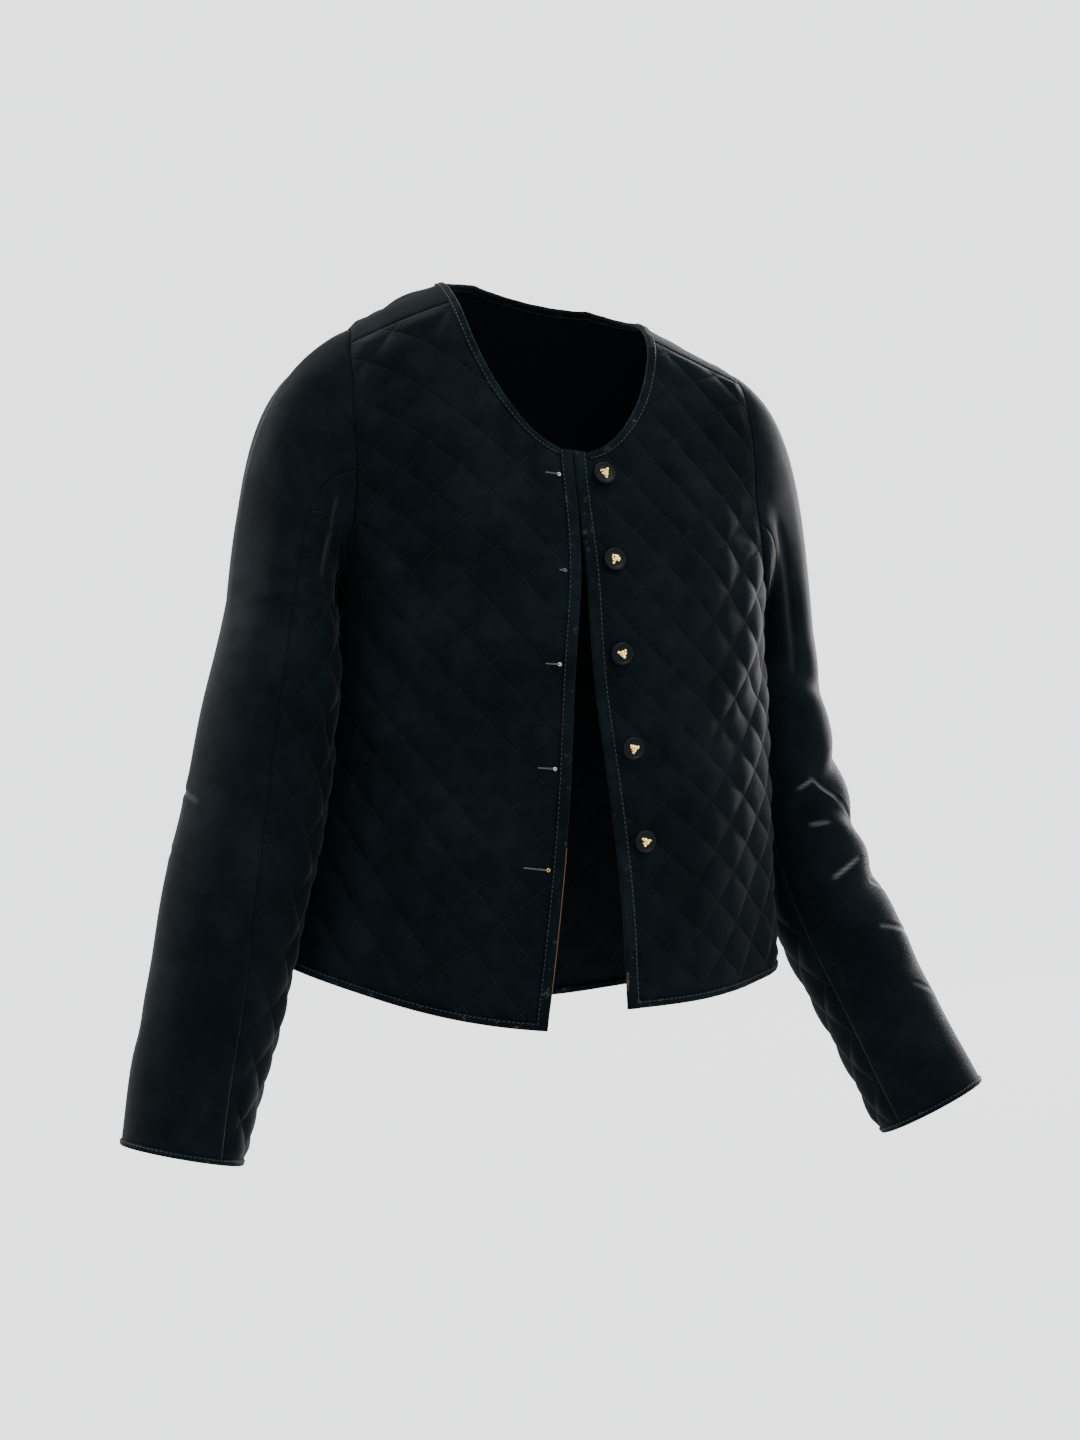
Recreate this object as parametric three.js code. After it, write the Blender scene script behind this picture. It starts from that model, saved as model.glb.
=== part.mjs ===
import * as THREE from 'three';
import { mergeVertices } from 'three/addons/utils/BufferGeometryUtils.js';

// A collarless, cropped, diamond-quilted velvet jacket, worn open, in millimetres.
// Z is up and 0 at the neck's highest points, the front faces -Y, and the wearer's left is +X.
// The body is one surface: s runs round it from the centre line, and t runs from the top of the
// shoulders down the front (t > 0) or down the back (t < 0), both as lengths on the cloth.

const quiltWall = 3;
const plainWall = 2.2;
const quiltRise = 2.4;
const quiltStep = 20; // half a diamond's diagonal
const seamGap = 0.4;
const seamForward = 32; // the shoulder seams lie this far in front of the shoulders' top
const neckHalf = 72;
const neckFront = 145;
const neckBack = 26;
const bindNeck = 6;
const bindFront = 9;
const bindHem = 5.5;
const bindCuff = 4.5;
const bindProud = 0.8;
const bindRound = 1.2;
const underarmLevel = 7;
const shoulderDrop = 46;
const shoulderTip = 148;
const hemRaise = 36; // the hem is this much higher at the sides
const tiltTop = 0.085; // the shoulders slope down to the wearer's left
const tiltHem = 0.02;
const neckSkew = 7; // the neck's edge stands higher on the wearer's right
const frontLift = 14; // the left front's hem hangs higher than the right one's
const plainStep = 23;
const buttonRadius = 8;
const buttonFromEdge = 20;
const buttonTops = [160, 223, 289, 358, 428];
const beadRadius = 3.6;

// Sections of the body from the top of the shoulders to the hem: height below the neck's top, half
// the width, how far the front and the back stand from the middle, and the middle's shift sideways.
const levels = [
  { down: 0, half: 186, front: 0, back: 0, sway: 0 },
  { down: 8, half: 186, front: 24, back: 28, sway: 0 },
  { down: 24, half: 185, front: 43, back: 50, sway: 0 },
  { down: 50, half: 183, front: 57, back: 69, sway: 0 },
  { down: 85, half: 180, front: 68, back: 85, sway: 1 },
  { down: 125, half: 174, front: 80, back: 95, sway: 2 },
  { down: 170, half: 167, front: 95, back: 99, sway: 4 },
  { down: 215, half: 160, front: 106, back: 97, sway: 7 },
  { down: 265, half: 158, front: 110, back: 93, sway: 9 },
  { down: 325, half: 160, front: 109, back: 90, sway: 9 },
  { down: 390, half: 165, front: 110, back: 93, sway: 6 },
  { down: 455, half: 173, front: 112, back: 100, sway: 0 },
  { down: 521, half: 183, front: 114, back: 108, sway: -6 },
];

// The gap between the fronts, a row for each 100 mm down from 100 mm below the shoulders' top: half
// its width, and the shift of its middle to the wearer's left.
const openings = [
  { gap: 0.6, shift: 0 },
  { gap: 0.8, shift: -4 },
  { gap: 6.2, shift: -10 },
  { gap: 15.3, shift: -4 },
  { gap: 25, shift: 4 },
  { gap: 34, shift: 9 },
];
const openingStep = 100;

// How far the armholes are cut in from the side line, from the shoulders' top to the underarm.
const armholes = {
  front: [
    { depth: 0, cut: 44 },
    { depth: 0.3, cut: 53 },
    { depth: 0.6, cut: 54 },
    { depth: 1, cut: 60 },
  ],
  back: [
    { depth: 0, cut: 44 },
    { depth: 0.3, cut: 52 },
    { depth: 0.6, cut: 53 },
    { depth: 1, cut: 54 },
  ],
};

// Sections of the sleeves from below the underarm to the cuff: height below the neck's top, distance
// out from the middle, forward or back, and the oval's half width and half depth.
const arms = {
  right: [
    { down: 226, out: 191, y: 0, wide: 38, deep: 56 },
    { down: 298, out: 200, y: -8, wide: 47, deep: 53 },
    { down: 368, out: 215, y: -20, wide: 49, deep: 52 },
    { down: 436, out: 232, y: -26, wide: 50, deep: 50 },
    { down: 494, out: 245, y: -30, wide: 48, deep: 48 },
    { down: 556, out: 260, y: -35, wide: 46, deep: 46 },
    { down: 606, out: 270, y: -37, wide: 43, deep: 44 },
  ],
  left: [
    { down: 248, out: 195, y: 51, wide: 30, deep: 46 },
    { down: 300, out: 200, y: 53, wide: 35, deep: 47 },
    { down: 362, out: 210, y: 47, wide: 40, deep: 48 },
    { down: 420, out: 223, y: 34, wide: 43, deep: 48 },
    { down: 480, out: 246, y: 20, wide: 42, deep: 47 },
    { down: 542, out: 274, y: 4, wide: 41, deep: 45 },
    { down: 600, out: 302, y: -10, wide: 41, deep: 43 },
  ],
};

// How the sleeve heads leave the armholes: how far they go on outwards, and how steeply they fall.
const heads = {
  right: { reach: 0.34, fall: 0.3 },
  left: { reach: 0.26, fall: 0.45 },
};

// The seams between upper and under sleeve, as angles from the outside of the arm over the front.
const sleeveSeams = {
  right: [
    { along: 0, front: 100, back: 252 },
    { along: 1, front: 86, back: 264 },
    { along: 2, front: 83, back: 266 },
    { along: 3.2, front: 89, back: 262 },
    { along: 5, front: 104, back: 252 },
    { along: 7, front: 118, back: 244 },
  ],
  left: [
    { along: 0, front: 112, back: 252 },
    { along: 1, front: 124, back: 264 },
    { along: 2, front: 134, back: 266 },
    { along: 3.2, front: 142, back: 262 },
    { along: 5, front: 150, back: 252 },
    { along: 7, front: 154, back: 244 },
  ],
};

// The largest folds of each sleeve: distance below the first oval section, angle, depth, half width
// along the arm, half span round it, and slant.
const folds = {
  right: [
    { at: 18, angle: 80, depth: 4.5, width: 15, span: 70, slant: 0.35 },
    { at: 95, angle: 130, depth: 4, width: 14, span: 60, slant: -0.3 },
    { at: 150, angle: 60, depth: 3.5, width: 15, span: 65, slant: 0.3 },
    { at: 215, angle: 110, depth: 3.5, width: 14, span: 60, slant: -0.25 },
    { at: 300, angle: 300, depth: 3, width: 15, span: 70, slant: 0.2 },
  ],
  left: [
    { at: 30, angle: 70, depth: 4, width: 15, span: 70, slant: -0.35 },
    { at: 112, angle: 50, depth: 5.5, width: 14, span: 75, slant: 0.4 },
    { at: 158, angle: 20, depth: 5.5, width: 14, span: 70, slant: -0.3 },
    { at: 205, angle: 40, depth: 4.5, width: 14, span: 65, slant: 0.25 },
    { at: 268, angle: 75, depth: 3, width: 14, span: 60, slant: -0.2 },
  ],
};

const velvet = { color: 0x0d1114, roughness: 0.9, metalness: 0 };
const quilted = { color: 0x11161a, roughness: 0.9, metalness: 0 };
const bound = { color: 0x171c20, roughness: 0.85, metalness: 0 };
const horn = { color: 0x08090a, roughness: 0.25, metalness: 0 };
const gilt = { color: 0xc79a45, roughness: 0.35, metalness: 1 };

const radians = THREE.MathUtils.degToRad;
const clamp = THREE.MathUtils.clamp;
const smoothstep = THREE.MathUtils.smoothstep;

// A smooth curve through values at whole numbers.
function through(value, u) {
  const i = Math.floor(u);
  const f = u - i;
  const [a, b, c, d] = [value(i - 1), value(i), value(i + 1), value(i + 2)];
  const slopeB = (c - a) / 2;
  const slopeC = (d - b) / 2;
  return (
    b + f * slopeB + f * f * (3 * (c - b) - 2 * slopeB - slopeC) + f * f * f * (2 * (b - c) + slopeB + slopeC)
  );
}

// Straight lines through a table's rows.
function along(rows, key, value, x) {
  let k = 1;
  while (k < rows.length - 1 && rows[k][key] < x) k++;
  const [a, b] = [rows[k - 1], rows[k]];
  return THREE.MathUtils.mapLinear(clamp(x, a[key], b[key]), a[key], b[key], a[value], b[value]);
}

// One column of a table at row i, carried on in a straight line past its ends.
function column(rows, key, i) {
  const last = rows.length - 1;
  if (i > last) return rows[last][key] + (i - last) * (rows[last][key] - rows[last - 1][key]);
  if (i < 0) return rows[0][key] + i * (rows[1][key] - rows[0][key]);
  return rows[i][key];
}

// The body's section at level u, from -12 at the back hem over 0 at the top to 12 at the front hem.
function section(u) {
  const even = (key) => through((i) => column(levels, key, Math.abs(i)), u);
  const stand = (i) => (i < 0 ? -column(levels, 'back', -i) : column(levels, 'front', i));
  return { down: even('down'), half: even('half'), sway: even('sway'), depth: through(stand, u) };
}

// Lengths down the front and down the back at each level, in small steps.
const lastLevel = levels.length - 1;
const stepsPerLevel = 24;
const chestShare = 0.85; // the part of the depth that counts where the chest's middle lies
function lengths(sign) {
  const table = [{ u: 0, t: 0 }];
  for (let k = 1; k <= lastLevel * stepsPerLevel; k++) {
    const [a, b] = [section((sign * (k - 1)) / stepsPerLevel), section((sign * k) / stepsPerLevel)];
    const step = Math.hypot(b.down - a.down, chestShare * (b.depth - a.depth));
    table.push({ u: k / stepsPerLevel, t: table[k - 1].t + step });
  }
  return table;
}
const frontLengths = lengths(1);
const backLengths = lengths(-1);
const levelAt = (t) => (t < 0 ? -along(backLengths, 't', 'u', -t) : along(frontLengths, 't', 'u', t));
const lengthAt = (u) => (u < 0 ? -along(backLengths, 'u', 't', -u) : along(frontLengths, 'u', 't', u));
const frontHem = lengthAt(lastLevel);
const backHem = lengthAt(-lastLevel);
const underarmFront = lengthAt(underarmLevel);
const underarmBack = lengthAt(-underarmLevel);

// A quarter of a section's oval as angle and length from its middle.
const ovalSteps = 48;
const ovals = new Map();
function oval(t) {
  if (!ovals.has(t)) {
    const { down, half, sway, depth } = section(levelAt(t));
    const table = [{ angle: 0, s: 0 }];
    for (let k = 1; k <= ovalSteps; k++) {
      const [a, b] = [(k - 1) / ovalSteps, k / ovalSteps].map((q) => (q * Math.PI) / 2);
      const step = Math.hypot(half * (Math.sin(b) - Math.sin(a)), depth * (Math.cos(b) - Math.cos(a)));
      table.push({ angle: b, s: table[k - 1].s + step });
    }
    ovals.set(t, { down, half, sway, depth, table, side: table[ovalSteps].s });
  }
  return ovals.get(t);
}

// A point of the body's outer face. side is 1 on the wearer's left and -1 on the right.
function bodyPoint(side, s, t) {
  const { down, half, sway, depth, table } = oval(t);
  const angle = Math.sign(s) * along(table, 's', 'angle', Math.abs(s));
  const x = side * half * Math.sin(angle);
  const sideShare = Math.sin(angle) ** 2;
  const topShare = clamp(1 - down / levels[underarmLevel].down, 0, 1) ** 1.4;
  const lowShare = smoothstep(down, levels[underarmLevel].down, levels[lastLevel].down);
  const slope = clamp((Math.abs(x) - neckHalf * 0.6) / (shoulderTip - neckHalf * 0.6), 0, 1) ** 1.15;
  const skew = neckSkew * topShare * Math.sin(Math.PI * clamp(x / shoulderTip, -1, 1));
  const z = -down - shoulderDrop * slope * topShare + hemRaise * sideShare * lowShare - skew;
  const lift = side > 0 && t > 0 ? frontLift * lowShare * (1 - sideShare) : 0;
  const tilt = THREE.MathUtils.mapLinear(z, -levels[lastLevel].down, 0, tiltHem, tiltTop);
  return new THREE.Vector3(sway + x, -depth * Math.cos(angle), z - x * tilt + lift);
}

function bodyNormal(side, s, t) {
  const far = oval(t).side;
  const [s0, s1] = [Math.min(s, far - 1) - 1, Math.min(s, far - 1) + 1];
  const [t0, t1] = [clamp(t - 1, backHem, frontHem - 2), clamp(t - 1, backHem, frontHem - 2) + 2];
  const ds = bodyPoint(side, s1, t).sub(bodyPoint(side, s0, t));
  const dt = bodyPoint(side, s, t1).sub(bodyPoint(side, s, t0));
  return dt.cross(ds).multiplyScalar(side).normalize();
}

// How far a front's edge stands from the centre line, towards its own side.
function opening(side, t) {
  const value = (key) => through((i) => column(openings, key, i), t / openingStep - 1);
  return value('gap') + side * value('shift');
}

// The neck as an oval on the cloth, and the armhole as a cut from the side line.
function neckAt(t, out) {
  const depth = (t < 0 ? neckBack : neckFront) + out;
  return (neckHalf + out) * Math.sqrt(Math.max(0, 1 - (t / depth) ** 2));
}
function armholeAt(t) {
  const [rows, end] = t < 0 ? [armholes.back, underarmBack] : [armholes.front, underarmFront];
  const q = t / end;
  if (q >= 1) return oval(t).side;
  return oval(t).side - along(rows, 'depth', 'cut', q) * Math.sqrt(1 - q ** 4);
}

// The height of the quilting: flat on the stitched lines, highest in each diamond's middle.
function quilt(p, t) {
  const wrap = (v) => THREE.MathUtils.euclideanModulo(v / quiltStep, 2) - 1;
  return quiltRise * (1 - wrap(p + t) ** 2) * (1 - wrap(p - t) ** 2);
}

// Places between two ends: lattice lines a step apart, none too near an end.
function places(from, to, step, shift, clear) {
  const list = [from];
  for (let k = Math.ceil((from - shift) / step); k * step + shift < to; k++) {
    const a = k * step + shift;
    if (a - from > clear && to - a > clear) list.push(a);
  }
  return [...list, to];
}

function evenly(from, to, step) {
  const count = Math.max(1, Math.round((to - from) / step));
  return Array.from({ length: count + 1 }, (_, k) => from + ((to - from) * k) / count);
}

const outerOf = (q) => q.p.clone().addScaledVector(q.n, q.h);

// Triangles between two rows, by the shorter diagonal, and along a stitched line rather than over it.
function zip(upper, lower, flip, tris) {
  const cost = (a, b) => a.v.distanceToSquared(b.v) + 40 * (a.h + b.h);
  const add = (a, b, c) => tris.push(...(flip ? [a.v, c.v, b.v] : [a.v, b.v, c.v]));
  let i = 0;
  let j = 0;
  while (i < upper.length - 1 || j < lower.length - 1) {
    const canUpper = i < upper.length - 1;
    const canLower = j < lower.length - 1;
    if (canUpper && (!canLower || cost(upper[i + 1], lower[j]) < cost(upper[i], lower[j + 1]))) {
      add(upper[i], lower[j], upper[i + 1]);
      i++;
    } else {
      add(upper[i], lower[j], lower[j + 1]);
      j++;
    }
  }
}

// One row of a wall. Its first and last points are on the outline, and so are the points before and
// after them, which follow the outline on towards the next row. A row whose left is false goes on in
// the wall's mirror image there.
function rowOf(t, list, make, before = [], after = [], left = true) {
  const on = ([s, at]) => ({ ...make(s, at), h: 0 });
  const points = list.map((s, k) => {
    const ends = (k === 0 && left) || k === list.length - 1;
    return ends ? on([s, t]) : make(s, t);
  });
  const count = { before: left ? before.length + 1 : 0, after: after.length + 1 };
  return { points: [...before.map(on).reverse(), ...points, ...after.map(on)], count, skip: before.length };
}

// A wall between an outer face with its heights and a plain inner face, closed along its outline.
function wallTriangles(rows, thickness, flip) {
  const tris = [];
  const outer = rows.map((row) => row.points.map((q) => ({ v: outerOf(q), h: q.h })));
  const inner = rows.map((row) =>
    row.points.map((q) => ({ v: q.p.clone().addScaledVector(q.n, -thickness), h: 0 })),
  );
  const own = (list, k) => list[k].slice(rows[k].skip, list[k].length - rows[k].count.after + 1);
  for (let k = 1; k < rows.length; k++) {
    zip(outer[k - 1], own(outer, k), flip, tris);
    zip(inner[k - 1], own(inner, k), !flip, tris);
  }
  const first = (list) => list.flatMap((row, k) => row.slice(0, rows[k].count.before).reverse());
  const final = (list) => list.flatMap((row, k) => row.slice(row.length - rows[k].count.after));
  if (rows[0].count.before > 0) zip(first(outer), first(inner), flip, tris);
  zip(final(outer), final(inner), !flip, tris);
  zip(own(outer, 0), own(inner, 0), !flip, tris);
  zip(outer[rows.length - 1], inner[rows.length - 1], flip, tris);
  return tris;
}

function closedMesh(name, tris, finish) {
  let volume = 0;
  for (let k = 0; k < tris.length; k += 3) volume += tris[k].dot(tris[k + 1].clone().cross(tris[k + 2]));
  const list = volume < 0 ? tris.map((_, k) => tris[k - (k % 3) + ((3 - (k % 3)) % 3)]) : tris;
  const geometry = new THREE.BufferGeometry().setFromPoints(list);
  const mesh = new THREE.Mesh(mergeVertices(geometry, 1e-3), new THREE.MeshStandardMaterial(finish));
  mesh.geometry.computeVertexNormals();
  mesh.name = name;
  return mesh;
}

// The rows' lengths: whole steps between the two ends.
function rowLengths(from, to) {
  const sign = Math.sign(to - from);
  const list = [from, to];
  for (let k = Math.ceil(Math.min(from, to) / quiltStep); k * quiltStep < Math.max(from, to); k++) {
    if (Math.abs(k * quiltStep - to) > quiltStep / 3 && k * quiltStep !== from) list.push(k * quiltStep);
  }
  return list.sort((a, b) => sign * (a - b));
}
const between = (list, a, b) => list.filter((t) => (t - a) * (t - b) < 0).sort((c, d) => Math.sign(b - a) * (c - d));

// The outlines' lengths: more of them where the neck and the armholes turn.
const neckPanel = bindNeck + seamGap;
const cornerOut = opening(1, neckFront) + bindFront + seamGap;
const neckCorner = (neckFront + neckPanel) * Math.sqrt(1 - (cornerOut / (neckHalf + neckPanel)) ** 2);
const neckTurns = (depth, angles) => angles.map((angle) => (depth + neckPanel) * Math.sin(radians(angle)));
const frontNeck = [...neckTurns(neckFront, [52, 60, 67, 73, 78]), neckCorner];
const backNeck = neckTurns(-neckBack - 2 * neckPanel, [14, 27, 47, 58, 70, 90]);
const frontArm = [0.8, 0.87, 0.92, 0.96, 0.985, 1].map((q) => q * underarmFront);
const backArm = [0.8, 0.87, 0.92, 0.96, 0.985, 1].map((q) => q * underarmBack);
const frontRows = rowLengths(seamForward + seamGap / 2, frontHem - bindHem - seamGap);
const backRows = rowLengths(seamForward - seamGap / 2, backHem + bindHem + seamGap);
const seamPlaces = evenly(neckAt(seamForward, neckPanel), armholeAt(seamForward), 16);

// The fronts' first places: the neck's oval above its lowest point, the edge binding below it.
const frontFrom = (side, t) => Math.max(neckAt(t, neckPanel), opening(side, t) + bindFront + seamGap);
const sideTo = (t) => armholeAt(t) - (t >= underarmFront || t <= underarmBack ? seamGap / 2 : 0);
function frontPlaces(side, t) {
  if (t < seamForward + 1) return seamPlaces;
  return places(frontFrom(side, t), sideTo(t), quiltStep, opening(side, t), 6);
}
function backPlaces(t) {
  if (t > seamForward - 1) return seamPlaces;
  return places(neckAt(t, neckPanel), sideTo(t), quiltStep, 0, 6);
}

function frontPanel(side) {
  const make = (s, t) => {
    const near = Math.min(s - frontFrom(side, t), armholeAt(t) + 12 * (t > underarmFront) - s, t - seamForward);
    const flat = smoothstep(Math.min(near, frontHem - bindHem - t), 0, 12);
    const h = quilt(s - opening(side, t), t) * flat;
    return { p: bodyPoint(side, s, t), n: bodyNormal(side, s, t), h };
  };
  const rows = frontRows.map((t, k) => {
    const next = frontRows[k + 1] ?? t;
    const before = between(frontNeck, t, next).map((q) => [frontFrom(side, q), q]);
    const after = between(frontArm, t, next).map((q) => [sideTo(q), q]);
    return rowOf(t, frontPlaces(side, t), make, before, after);
  });
  return wallTriangles(rows, quiltWall, side < 0);
}

function backHalf(side) {
  const make = (s, t) => {
    const from = neckAt(t, neckPanel);
    const near = Math.min(from > 0 ? s - from : 12, armholeAt(t) + 12 * (t < underarmBack) - s, -t);
    const flat = smoothstep(Math.min(near, t - backHem - bindHem), 0, 12);
    return { p: bodyPoint(side, s, t), n: bodyNormal(side, s, t), h: quilt(s, t) * flat };
  };
  const rows = backRows.map((t, k) => {
    const next = backRows[k + 1] ?? t;
    const before = between(backNeck, t, next).map((q) => [neckAt(q, neckPanel), q]);
    const after = between(backArm, t, next).map((q) => [sideTo(q), q]);
    return rowOf(t, backPlaces(t), make, before, after, neckAt(t, neckPanel) > 0);
  });
  return wallTriangles(rows, quiltWall, side > 0);
}

// A binding: a strip with a rounded outer edge, a little thicker than the wall that it closes.
function strip(stations, thickness, closed) {
  const share = 0.86;
  const profile = [
    [0, bindProud],
    [share, bindProud],
    [1, bindProud - bindRound],
    [1, bindRound - bindProud - thickness],
    [share, -bindProud - thickness],
    [0, -bindProud - thickness],
  ];
  const rings = stations.map(({ edge, seam, n }) =>
    profile.map(([w, up]) => seam.clone().lerp(edge, w).addScaledVector(n, up)),
  );
  const tris = [];
  const count = profile.length;
  const steps = closed ? rings.length : rings.length - 1;
  for (let k = 0; k < steps; k++) {
    const [a, b] = [rings[k], rings[(k + 1) % rings.length]];
    for (let i = 0; i < count; i++) {
      const j = (i + 1) % count;
      tris.push(a[i], b[i], b[j], a[i], b[j], a[j]);
    }
  }
  if (!closed) {
    const [a, b] = [rings[0], rings[rings.length - 1]];
    for (let i = 1; i < count - 1; i++) tris.push(a[0], a[i], a[i + 1], b[0], b[i + 1], b[i]);
  }
  return tris;
}

function station(side, edge, seam) {
  return {
    edge: bodyPoint(side, edge[0], edge[1]),
    seam: bodyPoint(side, seam[0], seam[1]),
    n: bodyNormal(side, seam[0], seam[1]),
  };
}

// The neck's binding follows the panels' outlines, and stops beside the edge bindings.
function neckStations(side) {
  const list = [...frontRows.filter((t) => t < neckCorner), ...frontNeck, ...backRows, ...backNeck]
    .filter((t) => neckAt(t, neckPanel) > 1 && Math.abs(t - seamForward + seamGap / 2) > 0.01)
    .sort((a, b) => b - a);
  return list.map((t) => {
    const depth = t < 0 ? neckBack : neckFront;
    const angle = Math.asin(t / (depth + neckPanel));
    const least = opening(side, t) + bindFront + seamGap;
    const at = (out) => [Math.max((neckHalf + out) * Math.cos(angle), t > 0 ? least : 0), (depth + out) * Math.sin(angle)];
    return station(side, at(0), at(bindNeck));
  });
}

function neckBinding() {
  const middle = station(1, [0, -neckBack], [0, -(neckBack + bindNeck)]);
  return strip([...neckStations(1), middle, ...neckStations(-1).reverse()], quiltWall, false);
}

function edgeBinding(side) {
  const list = [neckFront, neckCorner, ...frontRows.filter((t) => t > neckCorner), frontHem];
  const stations = list.map((t) => {
    const open = opening(side, t);
    return station(side, [open, t], [open + bindFront, t]);
  });
  return strip(stations, quiltWall, false);
}

// The hem's binding follows the panels' last rows, all round from one front edge to the other.
function hemStations(side, front) {
  const [seamT, edgeT] = front ? [frontHem - bindHem, frontHem] : [backHem + bindHem, backHem];
  const list = front ? frontPlaces(side, frontRows.at(-1)) : backPlaces(backRows.at(-1));
  return list.map((s, k) => {
    if (k === list.length - 1) return station(side, [oval(edgeT).side, edgeT], [oval(seamT).side, seamT]);
    return station(side, [k === 0 && front ? frontFrom(side, edgeT) : s, edgeT], [s, seamT]);
  });
}

function hemBinding() {
  const half = (side) => [...hemStations(side, true), ...hemStations(side, false).slice(0, -1).reverse()];
  return strip([...half(1), ...half(-1).slice(0, -1).reverse()], quiltWall, false);
}

// The armhole as a loop: its length from the shoulders' top over the front and over the back.
function armholeLoop(side) {
  const half = (list) => {
    let length = 0;
    const rows = list.map((t) => ({ t, p: bodyPoint(side, armholeAt(t), t), n: bodyNormal(side, armholeAt(t), t) }));
    rows.forEach((row, k) => {
      length += k === 0 ? 0 : row.p.distanceTo(rows[k - 1].p);
      row.length = length;
    });
    return rows.map((row) => ({ ...row, angle: (180 * row.length) / length }));
  };
  const over = backRows.filter((t) => t >= 0 && t < seamForward - 1).reverse();
  const down = [...frontRows.filter((t) => t > seamForward + 1 && t < underarmFront), ...frontArm];
  const behind = [...backRows.filter((t) => t <= 0 && t > underarmBack), ...backArm];
  const front = half([...over, seamForward, ...down.sort((a, b) => a - b)]);
  const back = half(behind.sort((a, b) => b - a)).map((row) => ({ ...row, angle: 360 - row.angle }));
  const loop = [...front, ...back.slice(1, -1).reverse()];
  loop.forEach((row, k) => {
    const next = loop[(k + 1) % loop.length].p;
    const before = loop[(k + loop.length - 1) % loop.length].p;
    row.away = next.clone().sub(before).cross(row.n).multiplyScalar(-side).normalize();
    const high = 0.7 * smoothstep(Math.abs(180 - row.angle), 20, 120);
    const out = new THREE.Vector3(side, 0, -heads[side > 0 ? 'left' : 'right'].fall).normalize();
    row.leave = row.away.clone().multiplyScalar(high).addScaledVector(out, 1 - high).normalize();
    row.start = row.p.clone().addScaledVector(row.leave, seamGap).addScaledVector(row.away, seamGap * 0.5);
  });
  return loop;
}

// One sleeve: angle runs from the outside over the front. v runs from 0 at the armhole to 1 at the
// first oval section, and on by 1 for each section after it.
function sleeveSurface(side) {
  const name = side > 0 ? 'left' : 'right';
  const rows = arms[name];
  const loop = armholeLoop(side);
  const lastArm = rows.length - 1;
  const centre = (u) => {
    const value = (key) => through((i) => column(rows, key, i), u);
    return new THREE.Vector3(side * value('out'), value('y'), -value('down'));
  };
  const pathLengths = [{ u: 0, length: 0 }];
  for (let k = 1; k <= lastArm * stepsPerLevel; k++) {
    const step = centre(k / stepsPerLevel).distanceTo(centre((k - 1) / stepsPerLevel));
    pathLengths.push({ u: k / stepsPerLevel, length: pathLengths[k - 1].length + step });
  }
  const total = pathLengths[pathLengths.length - 1].length;
  const basis = (u) => {
    const down = centre(u + 0.01).sub(centre(u - 0.01)).normalize();
    const out = new THREE.Vector3(side, 0, 0);
    out.addScaledVector(down, -out.dot(down)).normalize();
    return { down, out, front: down.clone().cross(out).multiplyScalar(side) };
  };
  const crease = (angle, length) =>
    folds[name].reduce((sum, fold) => {
      const turn = THREE.MathUtils.euclideanModulo(angle - fold.angle + 180, 360) - 180;
      const reach = clamp(1 - (turn / fold.span) ** 2, 0, 1);
      return sum - fold.depth * reach * Math.exp(-(((length - fold.at - fold.slant * turn) / fold.width) ** 2));
    }, 0);
  const ring = (angle, u) => {
    const { out, front } = basis(u);
    const value = (key) => through((i) => column(rows, key, i), u);
    const fold = crease(angle, along(pathLengths, 'u', 'length', clamp(u, 0, lastArm)));
    const q = radians(angle);
    return centre(u)
      .addScaledVector(out, (value('wide') + fold) * Math.cos(q))
      .addScaledVector(front, (value('deep') + fold) * Math.sin(q));
  };
  const loopAt = (angle) => {
    const turn = THREE.MathUtils.euclideanModulo(angle, 360);
    const k = loop.findLastIndex((row) => row.angle <= turn + 1e-9);
    const [a, b] = [loop[k], loop[(k + 1) % loop.length]];
    const end = b.angle <= a.angle ? 360 : b.angle;
    const f = clamp((turn - a.angle) / (end - a.angle), 0, 1);
    return { start: a.start.clone().lerp(b.start, f), leave: a.leave.clone().lerp(b.leave, f).normalize() };
  };
  const point = (angle, v) => {
    if (v >= 1) return ring(angle, v - 1);
    const { start, leave } = loopAt(angle);
    const end = ring(angle, 0);
    const reach = start.distanceTo(end);
    const curve = new THREE.CubicBezierCurve3(
      start,
      start.clone().addScaledVector(leave, reach * heads[name].reach),
      end.clone().addScaledVector(basis(0).down, -reach * 0.4),
      end,
    );
    return curve.getPoint(v);
  };
  const normal = (angle, v) => {
    const [low, high] = v < 0.02 ? [v, v + 0.02] : [v - 0.01, v + 0.01];
    const round = point(angle + 1.5, v).sub(point(angle - 1.5, v));
    const down = point(angle, high).sub(point(angle, low));
    return down.cross(round).multiplyScalar(-side).normalize();
  };
  const at = (length) => 1 + along(pathLengths, 'length', 'u', length);
  return { loop, point, normal, total, at };
}

const sleeves = { 1: sleeveSurface(1), '-1': sleeveSurface(-1) };
const capRows = [0.14, 0.28, 0.42, 0.56, 0.7, 0.85];
const cuffGap = bindCuff + seamGap;
const armRadius = 48; // the oval sections' mean, for lengths round the arm
const arcOf = (angle) => radians(angle) * armRadius;
const angleOf = (arc) => arc / armRadius / radians(1);
const underArm = arcOf(180);
const seamTable = (side, key, v) => along(sleeveSeams[side > 0 ? 'left' : 'right'], 'along', key, v);

function sleeveRows(sleeve) {
  const lengthsDown = [];
  for (let k = 0; k * quiltStep < sleeve.total - cuffGap - 6; k++) lengthsDown.push(k * quiltStep);
  lengthsDown.push(sleeve.total - cuffGap);
  const cap = [0, ...capRows].map((v) => ({ v, length: 0 }));
  return [...cap, ...lengthsDown.map((length) => ({ v: sleeve.at(length), length }))];
}

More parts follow.
